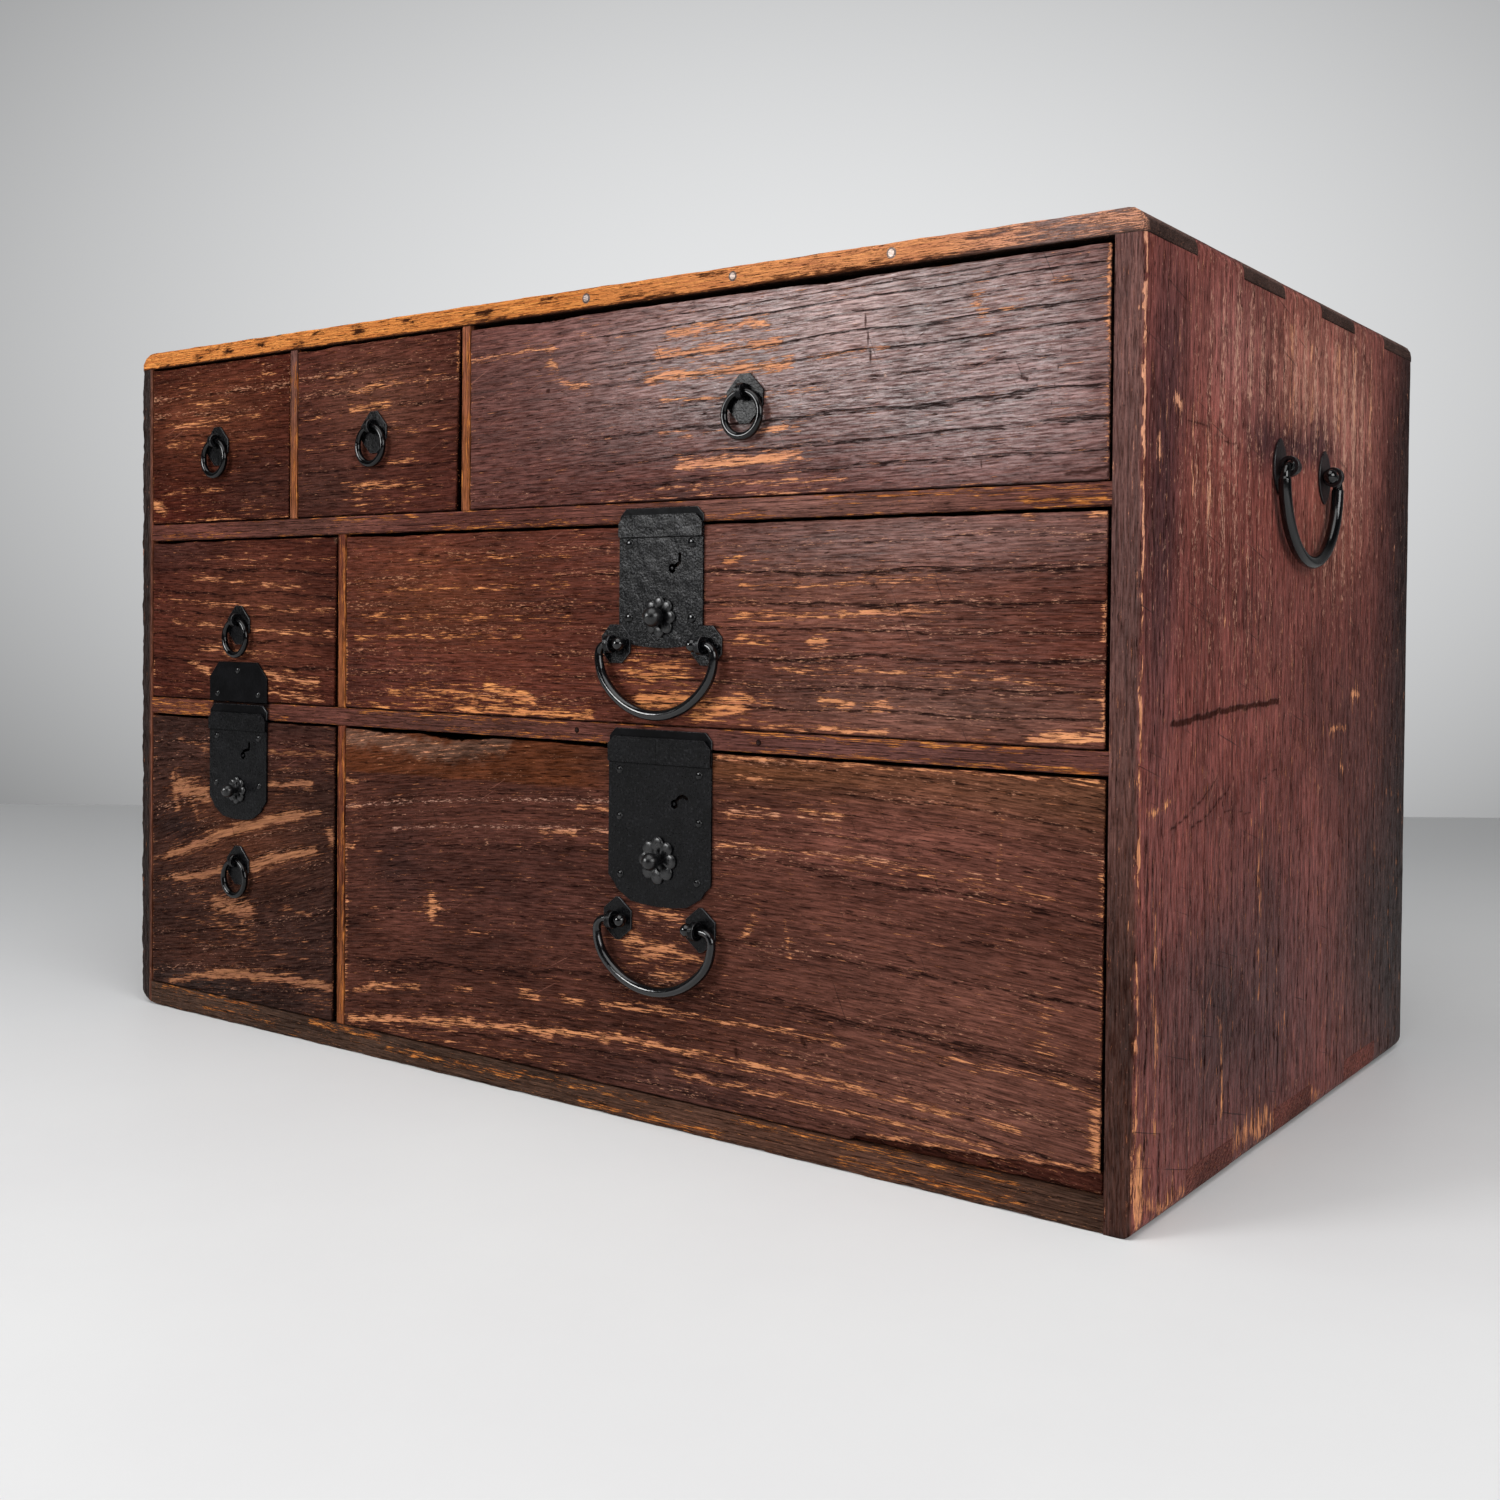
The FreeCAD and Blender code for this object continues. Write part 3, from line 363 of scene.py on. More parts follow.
# bare wood: orange by its fibres, paler as it fades and where a sheen is painted, darker with dirt and where
# shade is painted
wood_tone = add(tree, "MapRange", {"Value": fibre, "From Min": 0.34, "From Max": 0.66})
wood = add(tree, "Mix", {0: wood_tone, 6: linear("a65b2e"), 7: linear("e3954f")}, out=2,
           data_type="RGBA")
wood = add(tree, "Mix", {0: pale_and_sheen, 6: wood, 7: linear("dca48e")}, out=2, data_type="RGBA")
thready = add(tree, "MapRange", {"Value": thread, "From Min": 0.34, "From Max": 0.60,
                                 "To Min": 0.72, "To Max": 1.08})
uneven_dirt_and_shade = add(tree, "MapRange", {"Value": mottle, "From Min": 0.35, "From Max": 0.65,
                                      "To Min": 1.15, "To Max": 0.80})
dirt_and_shade_share = add(tree, "Math", {0: dirt_and_shade, 1: uneven_dirt_and_shade}, operation="MULTIPLY")
clean = add(tree, "Math", {0: 1.0, 1: dirt_and_shade_share}, operation="SUBTRACT")
thready = add(tree, "Math", {0: thready, 1: clean}, operation="MULTIPLY")
wood = add(tree, "VectorMath", {0: wood, "Scale": thready}, operation="SCALE")
tinted = add(tree, "Mix", {0: bare, 6: tinted, 7: wood}, out=2, data_type="RGBA")

# flecks, then scratches, cuts and pits over everything
fleck_share = add(tree, "Math", {0: flecks, 1: 0.62}, operation="MULTIPLY")
fleck_tone = add(tree, "Mix", {0: pale_and_sheen, 6: linear("c2835a"), 7: linear("d2aa9c")}, out=2,
                 data_type="RGBA")
tinted = add(tree, "Mix", {0: fleck_share, 6: tinted, 7: fleck_tone}, out=2, data_type="RGBA")
for mask, share, tone in ((scratches[0], 0.35, "a8705e"), (scratches[1], 0.6, "1b1313"),
                          (cuts, 0.75, "24130f"), (pits, 0.8, "150c0b")):
    mask = add(tree, "Math", {0: mask, 1: share}, operation="MULTIPLY")
    tinted = add(tree, "Mix", {0: mask, 6: tinted, 7: linear(tone)}, out=2, data_type="RGBA")
tree.links.new(tinted, shader.inputs["Base Color"])

# lacquer is smooth where gloss is high; bare wood and pits are dull
lacquer = add(tree, "MapRange", {"Value": gloss, "To Min": 0.50, "To Max": 0.22})
lacquer = add(tree, "Math", {0: fibre, 1: 0.16, 2: lacquer}, operation="MULTIPLY_ADD")
dull = add(tree, "Math", {0: bare, 1: pits}, operation="MAXIMUM")
dull = add(tree, "Math", {0: dull, 1: cuts}, operation="MAXIMUM")
rough = add(tree, "Mix", {0: dull, 2: lacquer, 3: 0.78}, out=0)
tree.links.new(rough, shader.inputs["Roughness"])

# relief in shares of RELIEF: fibres stand up, ring lines, pits and worn places lie low
RELIEF = 0.00042
peel = add(tree, "TexNoise", {"Vector": grain, "Scale": 0.62, "Detail": 3.0, "Roughness": 0.6})
relief = add(tree, "Math", {0: fibre, 1: 0.9}, operation="MULTIPLY")
for part, share in ((peel, 1.0), (thread, 0.40), (pore, 0.7), (pits, -0.8), (ring, -0.5),
                    (bare, -0.5), (scratches[1], -0.6), (cuts, -1.2)):
    relief = add(tree, "Math", {0: part, 1: share, 2: relief}, operation="MULTIPLY_ADD")
bump = add(tree, "Bump", {"Strength": 1.0, "Distance": RELIEF, "Height": relief})
tree.links.new(bump, shader.inputs["Normal"])
shine = add(tree, "Math", {0: gloss, 1: gloss}, operation="MULTIPLY")
shine = add(tree, "Math", {0: shine, 1: 0.86, 2: 0.012}, operation="MULTIPLY_ADD")
matt_share = add(tree, "Math", {0: ring_fade, 1: 0.5}, operation="MULTIPLY")
matt_share = add(tree, "Math", {0: matt_share, 1: dull}, operation="MAXIMUM")
kept_shine = add(tree, "MapRange", {"Value": matt_share, "To Min": 1.0, "To Max": 0.15})
shine = add(tree, "Math", {0: shine, 1: kept_shine}, operation="MULTIPLY")
streaky = add(tree, "MapRange", {"Value": thread, "From Min": 0.40, "From Max": 0.60, "To Min": 0.25,
                                 "To Max": 2.0})
shine = add(tree, "Math", {0: shine, 1: streaky}, operation="MULTIPLY")
tree.links.new(shine, shader.inputs["Specular IOR Level"])
print("stained kiri has", len(tree.nodes), "nodes")

# %% [markdown]
# ## Boards as one closed skin
# A cube with a bevel has edges that are too even for a chest this old. Here each board
# is a fine grid over its shown face, which can dip towards a rounded or chipped edge,
# plus a skirt from the rim of that face to the back, and one flat back. Grid squares can
# be left out, which gives the fingers of the corner joints as real notches.

# %% Grid lines and rounded edges
ARC = 1 - np.cos(np.radians([0.0, 22.5, 45.0, 67.5, 90.0]))


def grid_lines(low, high, step, marks=(), round_low=0.0, round_high=0.0):
    """Lines from low to high: equal steps of about `step` between the marks, and where an
    edge is rounded, lines at r (1 - cos a) from it for a from 0 to 90 degrees."""
    fixed = np.concatenate([[low, high], list(marks), low + ARC * round_low, high - ARC * round_high])
    fixed = np.unique(fixed.round(3))
    spans = [np.linspace(a, b, max(1, round((b - a) / step)) + 1)[:-1]
             for a, b in zip(fixed[:-1], fixed[1:])]
    return np.append(np.concatenate(spans), high)


def rounding(distance, radius):
    """Depth of a rounded edge at a distance from it: r - sqrt(r^2 - (r - d)^2)."""
    inside = np.clip(radius - distance, 0, radius)
    return radius - np.sqrt(np.clip(radius ** 2 - inside ** 2, 0, None))


def ripple(t, seed, longest):
    """A wavy line between about -1 and 1: six sine waves with seeded starts, each a bit
    over half as long and two thirds as high as the one before."""
    starts = np.random.default_rng(seed).uniform(0, 2 * math.pi, 6)
    waves = [0.68 ** k * np.sin(2 * math.pi * t * 1.83 ** k / longest + start)
             for k, start in enumerate(starts)]
    return np.sum(waves, axis=0) / 1.6


def ripples(x, y, seed, size):
    """The same over an area: ripples of two slanted directions added."""
    return 0.6 * (ripple(x + 0.7 * y, seed, size) + ripple(y - 0.6 * x, seed + 1, size * 1.3))


print("an edge rounded by 1 mm has lines at", ARC.round(3), "mm")

# %% The skin of one board
FACES = {                      # the face's two directions, then into the board
    "front": ((1, 0, 0), (0, 0, 1), (0, 1, 0)),
    "back": ((1, 0, 0), (0, 0, 1), (0, -1, 0)),
    "right": ((0, 1, 0), (0, 0, 1), (-1, 0, 0)),
    "left": ((0, 1, 0), (0, 0, 1), (1, 0, 0)),
    "top": ((1, 0, 0), (0, 1, 0), (0, 0, -1)),
    "foot": ((1, 0, 0), (0, 1, 0), (0, 0, 1)),
}


def board_skin(face, plane, us, vs, thickness, depth=None, kept=None, layers=5, nudge=None):
    """Points and four-sided faces of a board. P(u, v) = plane + depth(u, v) inwards.
    Each rim point goes on to the back in equal layers, or at given shares of the way.
    The back stays open and is closed when the mesh is made. nudge moves (u, v, w)
    before they are placed."""
    along, across, inward = (np.array(axis, float) for axis in FACES[face])
    u, v = np.meshgrid(us, vs, indexing="ij")
    w = np.zeros_like(u) if depth is None else depth(u, v)
    number = np.arange(u.size).reshape(u.shape)
    quads = np.stack([number[:-1, :-1], number[1:, :-1], number[1:, 1:], number[:-1, 1:]], -1)
    quads = quads.reshape(-1, 4) if kept is None else quads[kept]
    start, end = quads.ravel(), np.roll(quads, -1, axis=1).ravel()
    rim = ~np.isin(end * u.size + start, start * u.size + end)
    corners, start = np.unique(start[rim], return_inverse=True)
    end = np.searchsorted(corners, end[rim])
    u, v, w = u.ravel(), v.ravel(), w.ravel()
    shares = (np.arange(1, layers + 1) / layers if np.isscalar(layers) else np.array(layers))
    ring_w = w[corners] + (thickness - w[corners]) * shares[:, None]
    rows = np.vstack([corners, u.size + np.arange(ring_w.size).reshape(ring_w.shape)])
    skirt = np.stack([rows[:-1, end], rows[:-1, start], rows[1:, start], rows[1:, end]], -1)
    quads = np.concatenate([quads, skirt.reshape(-1, 4)])
    u = np.concatenate([u, np.tile(u[corners], len(shares))])
    v = np.concatenate([v, np.tile(v[corners], len(shares))])
    w = np.concatenate([w, ring_w.ravel()])
    used, quads = np.unique(quads, return_inverse=True)
    quads = quads.reshape(-1, 4)
    u, v, w = u[used], v[used], w[used]
    if nudge is not None:
        u, v, w = nudge(u, v, w)
    if np.dot(np.cross(along, across), inward) > 0:
        quads = quads[:, ::-1]
    points = np.outer(u, along) + np.outer(v, across) + np.outer(w, inward)
    return points + np.abs(inward) * plane, quads


def joined(parts):
    """Several skins as one: their points in a row, and faces counted on from there."""
    firsts = np.cumsum([0] + [len(points) for points, _ in parts[:-1]])
    return (np.concatenate([points for points, _ in parts]),
            np.concatenate([faces + first for (_, faces), first in zip(parts, firsts)]))


# %% From arrays to a piece
PAINT_TYPES = {"grain": ("FLOAT_VECTOR", "vector"), "stain": ("FLOAT_COLOR", "color")}
SHARP = math.radians(40)


def make_piece(name, skin, material, body, replaced=(), paint=None):
    """A skin in millimetres becomes an object at the origin, with open backs closed,
    smooth shading but for sharp edges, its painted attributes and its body."""
    points, faces = skin
    mesh = bpy.data.meshes.new(name)
    mesh.from_pydata((points * MM).tolist(), [], [list(map(int, face)) for face in faces])
    work = bmesh.new()
    work.from_mesh(mesh)
    bmesh.ops.holes_fill(work, edges=work.edges[:], sides=0)
    bmesh.ops.recalc_face_normals(work, faces=work.faces[:])
    work.to_mesh(mesh)
    work.free()
    mesh.shade_smooth()
    mesh.set_sharp_from_angle(angle=SHARP)
    for key, values in (paint or {}).items():
        kind, field = PAINT_TYPES.get(key, ("FLOAT", "value"))
        layer = mesh.attributes.new(key, kind, "POINT")
        layer.data.foreach_set(field, np.asarray(values, np.float32).ravel())
    mesh.materials.append(material)
    piece = bpy.data.objects.new(name, mesh)
    bpy.context.scene.collection.objects.link(piece)
    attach(piece, body)
    if replaced:
        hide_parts(*replaced)
    return piece


print("skins and pieces ready")

# %% [markdown]
# ## Painting wear
# Wear is local: a ring pull rubs the wood under it, a cloth wipes along the grain, keys
# scrape beside a lock. Streaks are therefore listed board by board, each by its half
# width, how much of the stain it took, and the points it runs through. The distance to
# that line gives the coverage, and the wood's own noise breaks it into patches.


# %% Streaks, patches and edges
def clamp(values):
    """Nothing under 0 or over 1."""
    return np.clip(values, 0, 1)


def streaks(x, y, rows):
    """Highest coverage of any streak, d from its wavering line in half widths:
    cover (0.7 e^-(d^2) + 0.3 e^-(d / 2.4)^2), a core with a scattered skirt."""
    cover = np.zeros_like(x)
    y = y + 0.5 * ripple(x, 5, 21)
    for half, amount, *path in rows:
        for (ax, ay), (bx, by) in zip(path[:-1], path[1:]):
            run = np.array([bx - ax, by - ay], float)
            share = ((x - ax) * run[0] + (y - ay) * run[1]) / max(run @ run, 1e-6)
            share = clamp(share)
            square = ((x - ax - share * run[0]) ** 2 + (y - ay - share * run[1]) ** 2) / half ** 2
            cover = np.maximum(cover, amount * (0.7 * np.exp(-square) + 0.3 * np.exp(-square / 5.8)))
    return cover


def patch(x, y, middle_x, middle_y, half_x, half_y):
    """A soft oval: exp(-(dx^2 + dy^2)) in half widths."""
    return np.exp(-((x - middle_x) / half_x) ** 2 - ((y - middle_y) / half_y) ** 2)


def towards(stain, colour, mask):
    """A stain moved towards another colour, wholly so where the mask is 1."""
    mask = clamp(mask)[:, None]
    return stain * (1 - mask) + np.array(linear(colour)) * mask


def stained(count, colour, patches=()):
    """A stain colour at every point, moved towards other colours where their masks say."""
    mixed = np.tile(linear(colour), (count, 1))
    for other, mask in patches:
        mixed = towards(mixed, other, mask)
    return mixed


def rim_distance(x, y, box):
    """Distance to the nearest of a face's four edges, box = (x0, y0, x1, y1)."""
    return np.minimum(np.minimum(x - box[0], box[2] - x), np.minimum(y - box[1], box[3] - y))


print("a streak's middle is covered by", streaks(np.zeros(1), np.zeros(1), [(2, 0.8, (-5, 0), (5, 0))]))

# %% What each drawer front has been through
# stain: its colour; faded: how pale the bare wood is, on the top right front partly a painted
# sheen; grimy: how dark it is, from dirt and partly painted shade; wear: how much of the listed
# wear shows; fleck: light flecks; rise: of the grain, in mm per mm to the right; lines: how
# strong the year rings are; rings: their y at the middle of the board
FRONTS = {
    "top_left": dict(stain="3b170f", pale_and_sheen=0.24, dirt_and_shade=0.14, wear=0.78, fleck=0.34, gloss=0.10,
                     rise=0.0, lines=0.34, rings=(21, 31, 42, 53, 62, 71, 80, 89)),
    "top_middle": dict(stain="46221a", pale_and_sheen=0.24, dirt_and_shade=0.10, wear=0.80, fleck=0.30, gloss=0.12,
                       rise=0.01, lines=0.36, rings=(19, 28, 37, 47, 57, 67, 77, 87)),
    # its bare wood is paler, in part as a painted sheen
    "top_right": dict(stain="573029", pale_and_sheen=0.40, dirt_and_shade=0.0, wear=1.00, fleck=0.30, gloss=0.22,
                      rise=0.02, lines=0.80, rings=(14, 18, 23, 29, 37, 45, 57, 69, 81, 91)),
    "middle_left": dict(stain="3c1a13", pale_and_sheen=0.30, dirt_and_shade=0.15, wear=0.80, fleck=0.30, gloss=0.08,
                        rise=-0.02, lines=0.46, rings=(115, 127, 139, 151, 164, 177, 187)),
    "middle_right": dict(stain="52281d", pale_and_sheen=0.15, dirt_and_shade=0.0, wear=1.00, fleck=0.62, gloss=0.18,
                         rise=0.006, lines=0.62, rings=(110, 119, 132, 144, 155, 166, 176, 186)),
    "bottom_left": dict(stain="33201b", pale_and_sheen=0.38, dirt_and_shade=0.57, wear=0.84, fleck=0.46, gloss=0.08,
                        rise=0.0, lines=0.42, rings=(208, 217, 225, 233, 245, 259, 270, 281, 292,
                                                     304, 316, 327, 339, 349)),
    "bottom_right": dict(stain="46271e", pale_and_sheen=0.30, dirt_and_shade=0.12, wear=0.88, fleck=0.30, gloss=0.12,
                         rise=0.0, lines=0.42, rings=(215, 224, 233, 241, 252, 268, 284, 302, 329,
                                                      345, 355, 366)),
}
# streaks where the stain is rubbed off: half width, coverage, points (x, y)
WORN = {
    "top_left": [
        (1.8, 0.72, (52, 32.5), (66, 31.5), (79, 31.5)), (1.1, 0.45, (14, 41.5), (34, 40.5)),
        (2.0, 0.80, (33, 42.5), (56, 41.5), (80, 40.5)), (1.2, 0.55, (80, 40.5), (117, 41)),
        (1.8, 0.66, (25, 52.5), (48, 52)), (1.1, 0.48, (48, 52.5), (112, 52)),
        (1.7, 0.58, (20, 79), (45, 78), (75, 78)), (1.2, 0.5, (40, 86), (60, 87)),
        (1.1, 0.5, (70, 90), (112, 89)), (3.2, 1.0, (9, 85), (17, 86), (20, 87)),
        (0.8, 0.7, (109, 15), (109, 30)), (1.1, 0.62, (10, 94.3), (130, 94.3)),
        (1.1, 0.5, (15, 22), (60, 21), (120, 20))],
    "top_middle": [
        (1.5, 0.56, (152, 26), (184, 24.5)), (1.8, 0.72, (180, 33.5), (204, 32.5), (214, 32)),
        (1.1, 0.5, (214, 32), (250, 31)), (2.2, 0.86, (180, 43), (208, 42)),
        (1.0, 0.5, (140, 46), (175, 45)), (1.4, 0.6, (208, 54), (215, 54)),
        (1.0, 0.5, (215, 56), (256, 55)), (1.4, 0.6, (208, 70), (231, 70)),
        (1.8, 0.64, (174, 80.5), (233, 82)), (2.4, 0.88, (190, 81), (213, 81)),
        (1.0, 0.58, (177, 87), (236, 88)), (1.0, 0.52, (185, 91), (228, 90.5)),
        (0.8, 0.7, (238, 27), (236, 37)), (1.0, 0.72, (257.5, 13), (257.5, 30)),
        (1.0, 0.5, (140, 61), (175, 60))],
    "top_right": [
        (2.4, 0.84, (388, 24.6), (412, 24.2), (440, 24.8)),
        (2.6, 0.82, (383, 33.2), (415, 32.8), (446, 33.4)),
        (2.6, 0.88, (376, 42.6), (410, 42.4), (452, 42.8)), (1.5, 0.50, (400, 54), (470, 54)),
        (1.4, 0.5, (455, 41.5), (500, 40)), (1.6, 0.56, (385, 53), (398, 53)),
        (1.6, 0.74, (434, 68.4), (456, 68)), (2.6, 0.92, (395, 80.4), (425, 80.0), (457, 80.2)),
        (1.2, 0.55, (380, 90), (430, 89.6), (480, 89.6)), (1.6, 0.5, (384, 67.6), (400, 67.6)),
        (1.3, 0.64, (266, 26), (290, 25), (320, 24.5)), (2.2, 0.64, (318, 31), (322, 34)),
        (2.2, 0.62, (326, 41), (340, 43)), (1.0, 0.66, (350, 94.6), (470, 94.6)),
        (3.0, 0.62, (538, 24), (542, 33)), (2.2, 0.52, (550, 31), (557, 30)),
        (1.8, 0.5, (571, 22), (576, 23)), (1.3, 0.82, (592.8, 12), (592.8, 46)),
        (1.3, 0.5, (592.8, 50), (592.8, 90))],
    "middle_left": [
        (1.0, 0.48, (50, 114), (100, 116), (165, 117)), (1.6, 0.72, (50, 125), (80, 127), (107, 129)),
        (1.4, 0.68, (103, 129), (140, 130.5)), (1.5, 0.68, (45, 138.5), (97, 141)),
        (1.4, 0.64, (97, 141.5), (168, 143)), (1.0, 0.5, (12, 137), (45, 138)),
        (1.7, 0.70, (30, 149), (74, 151)), (1.6, 0.70, (92, 152.5), (168, 155)),
        (2.0, 0.80, (55, 163), (105, 166)), (1.2, 0.6, (105, 166), (130, 166)),
        (2.6, 0.88, (47, 172), (62, 176)), (2.6, 0.90, (103, 175), (130, 178), (154, 180)),
        (2.4, 0.78, (115, 185), (160, 189)), (1.2, 0.7, (11.5, 170), (11.5, 178)),
        (1.2, 0.5, (12, 186), (60, 187))],
    "middle_right": [
        (4.4, 0.88, (374, 180.5), (402, 179.5)), (5.0, 0.66, (368, 168), (398, 168)),
        (5.0, 0.82, (406, 184), (428, 181)), (1.6, 0.74, (428, 178), (444, 179)),
        (3.0, 0.82, (278, 178), (292, 180.5), (308, 183)),
        (2.6, 0.82, (258, 188.5), (300, 189), (344, 189)), (5.0, 0.56, (225, 182), (290, 183)),
        (1.2, 0.6, (180, 189.8), (258, 189)), (1.8, 0.62, (210, 182.5), (218, 183)),
        (1.3, 0.55, (222, 181), (246, 181)), (1.5, 0.50, (190, 133), (260, 132), (330, 131)),
        (1.4, 0.50, (185, 146), (250, 146), (330, 145)),
        (1.5, 0.50, (185, 156), (230, 155), (300, 154)), (1.2, 0.46, (225, 119), (330, 118)),
        (1.8, 0.76, (420, 121), (427, 120.5)), (1.6, 0.56, (428, 132), (480, 131), (526, 129)),
        (1.6, 0.66, (489, 131), (516, 129.5)), (1.6, 0.60, (427, 144.5), (526, 142)),
        (1.8, 0.78, (430, 144.5), (443, 144)), (2.4, 0.68, (427, 154), (442, 154)),
        (2.4, 0.74, (464, 154.5), (470, 154.5)), (1.5, 0.56, (446, 166), (514, 165)),
        (1.9, 0.72, (469, 178), (484, 178.5)), (1.9, 0.80, (492, 179), (501, 178.5)),
        (2.0, 0.90, (563, 188.4), (580, 187.5), (593, 186.5)),
        (1.3, 0.68, (430, 189.6), (500, 189.2)), (1.6, 0.66, (592.6, 140), (592.6, 152)),
        (1.6, 0.74, (592.6, 166), (592.6, 186)), (2.4, 0.95, (588, 106.5), (593, 106)),
        (1.8, 0.78, (559, 106.5), (563, 107)), (1.5, 0.5, (500, 165), (570, 167)),
        (1.1, 0.66, (177.4, 150), (177.4, 188))],
    "bottom_left": [
        (0.9, 0.95, (35, 213.5), (63, 218)), (1.4, 0.86, (110, 217), (170, 215.7)),
        (1.7, 1.20, (112, 234.6), (150, 231)), (1.0, 0.45, (110, 225), (168, 224)),
        (4.6, 1.25, (33, 239), (60, 243)), (2.8, 1.10, (31, 234), (34, 251)),
        (2.4, 0.95, (48, 248), (53, 257)), (1.3, 0.80, (12, 282), (31, 278)),
        (2.5, 1.35, (28, 278), (41, 274.5), (63, 267), (83, 260.7)),
        (2.6, 1.40, (83, 260.7), (118, 252), (140, 248)), (1.7, 1.0, (140, 248), (156, 245.5)),
        (1.2, 0.68, (12, 293), (31, 291)),
        (2.2, 1.30, (31, 290.5), (44, 288.5), (58, 287), (78, 281)),
        (2.8, 1.40, (96, 280), (108, 276), (124, 271)), (2.3, 1.30, (124, 271), (153, 265.5)),
        (2.8, 1.2, (165, 255), (168, 259)), (1.6, 0.5, (164, 263), (170, 264)),
        (5.0, 1.10, (70, 301), (98, 302)), (6.0, 0.52, (70, 311), (100, 313)),
        (4.5, 0.42, (45, 296), (60, 300)), (1.5, 1.05, (28, 349), (50, 343), (63, 340)),
        (2.3, 1.40, (63, 340), (83, 336.8), (112, 334.8)),
        (2.0, 1.30, (112, 334.8), (140, 334), (169, 333)), (2.6, 0.52, (150, 340), (168, 342)),
        (1.1, 0.5, (11, 232), (11, 349)), (1.1, 0.46, (30, 296), (150, 298)),
        (1.1, 0.46, (30, 312), (150, 313)), (1.1, 0.46, (35, 323), (150, 322)),
        (3.0, 0.4, (160, 312), (168, 316))],
    "bottom_right": [
        (2.2, 0.86, (375, 272), (397, 273)), (5.0, 0.88, (366, 284), (378, 289), (392, 288)),
        (1.8, 0.82, (392, 288), (407, 289)), (2.2, 0.78, (382, 298), (397, 297)),
        (0.9, 0.62, (178, 227.5), (190, 227)), (1.2, 0.66, (179, 241), (189, 240)),
        (1.4, 0.84, (177, 261), (184, 260)), (1.3, 0.76, (337, 230), (356, 229)),
        (1.6, 0.84, (314, 242), (335, 241)), (1.3, 0.62, (337, 240), (356, 239)),
        (0.8, 0.6, (552, 218), (549, 250)), (0.8, 0.6, (452, 268), (455, 283)),
        (3.0, 1.0, (241, 280), (241.5, 288)), (2.0, 0.8, (236, 283.5), (246, 284.5)),
        (1.4, 0.48, (264, 293), (281, 292)), (1.6, 0.90, (178, 335), (190, 330.5), (217, 325.5)),
        (1.6, 0.85, (217, 325.5), (232, 324)), (1.5, 0.82, (258, 321.5), (268, 321)),
        (1.9, 0.85, (302, 318), (312, 318)), (1.7, 0.82, (328, 316), (340, 316)),
        (1.6, 0.92, (352, 315), (380, 314)), (2.0, 0.93, (181, 347), (201, 344), (232, 340)),
        (2.2, 0.92, (232, 340), (275, 336)), (2.2, 0.94, (275, 336), (296, 334.5), (333, 331)),
        (1.9, 0.94, (333, 331), (379, 328)), (1.7, 0.84, (379, 329), (405, 329), (489, 329)),
        (1.5, 0.72, (489, 330), (560, 333)), (1.6, 0.78, (395, 339), (450, 339.5)),
        (1.4, 0.74, (450, 339.5), (510, 340)), (1.2, 0.6, (510, 340), (590, 343)),
        (1.4, 0.70, (380, 313.5), (430, 313), (480, 312.5)), (2.2, 0.78, (422, 226), (447, 225)),
        (2.2, 0.80, (460, 223), (478, 223)), (1.3, 0.66, (415, 238.5), (505, 239.5)),
        (1.2, 0.56, (505, 239.5), (560, 243)), (1.4, 0.66, (553, 245), (573, 246)),
        (1.2, 0.54, (490, 241), (553, 245)), (2.5, 0.56, (437, 266), (431, 277)),
        (5.0, 0.46, (570, 286), (570, 300)), (1.6, 0.60, (592.6, 232), (592.6, 250)),
        (1.4, 0.5, (592.6, 270), (592.6, 312)), (3.0, 0.90, (591, 321), (592, 343)),
        (1.2, 0.75, (500, 346.5), (560, 343.5), (590, 342)), (1.6, 0.60, (426, 211), (444, 210)),
        (1.5, 0.80, (417, 203), (440, 203)), (0.9, 0.80, (440, 202), (590, 202.6)),
        (1.2, 0.72, (178.2, 255), (178.2, 330)), (1.0, 0.62, (420, 201.6), (560, 201.9)),
        (1.3, 0.5, (190, 348), (330, 346)), (1.6, 0.56, (500, 310), (590, 313))],
}
print(sum(map(len, WORN.values())), "streaks on", len(WORN), "fronts")

# %% [markdown]
# ## The seven drawer fronts
# A drawer front is a thick board planed flat, whose edges have been knocked round by a
# century of hands. The radius of the rounding wanders along each edge, the upper edge is
# chewed in places, and the lower right front has lost a long splinter at its foot. Under
# each lock the board is hollow, so that the bolt has room to rise.

# %% Shapes of the fronts
LOCK_WIDTH, LOCK_DEEP, LOCK_UNDER = 8.4, 8.4, 7.4   # half width, depth, hollow under the knob
WASHERS = {"middle_right": 14.6, "bottom_right": 18.0, "bottom_left": 14.6}
PETALS_WIDE = {"middle_right": 17.6, "bottom_right": 20.4, "bottom_left": 14.6}
KNOBS = {"middle_right": 8.8, "bottom_right": 7.8, "bottom_left": 7.0}
# stretches of an upper edge that are chewed away: from x to x, and how deep
CHEWED = {"top_right": ((296, 338, 1.2), (452, 486, 0.8)), "middle_right": ((188, 240, 0.6),),
          "bottom_right": ((190, 232, 0.9), (232, 282, 2.0), (330, 372, 0.7)),
          "middle_left": ((14, 40, 0.7),), "top_middle": ((140, 166, 0.6),)}
# how far a board has shrunk from its opening: above, and at the right above and below
SHRUNK = {"top_left": (0.3, 0.0, 1.4), "top_middle": (0.4, 0.3, 2.8), "top_right": (1.5, 0.8, 0.8),
          "middle_left": (0.3, 0.7, 2.2), "middle_right": (0.6, 0.9, 1.2), "bottom_left": (0.4, 1.2, 2.6),
          "bottom_right": (0.5, 0.7, 1.0)}
CHIP = ((484, 0.0), (487, 2.4), (540, 5.6), (594, 8.6))   # height of the lost splinter by x
CHIP_DEEP = 2.6
PULLED = 5.0                   # how far from an edge its shrinking moves the grid lines


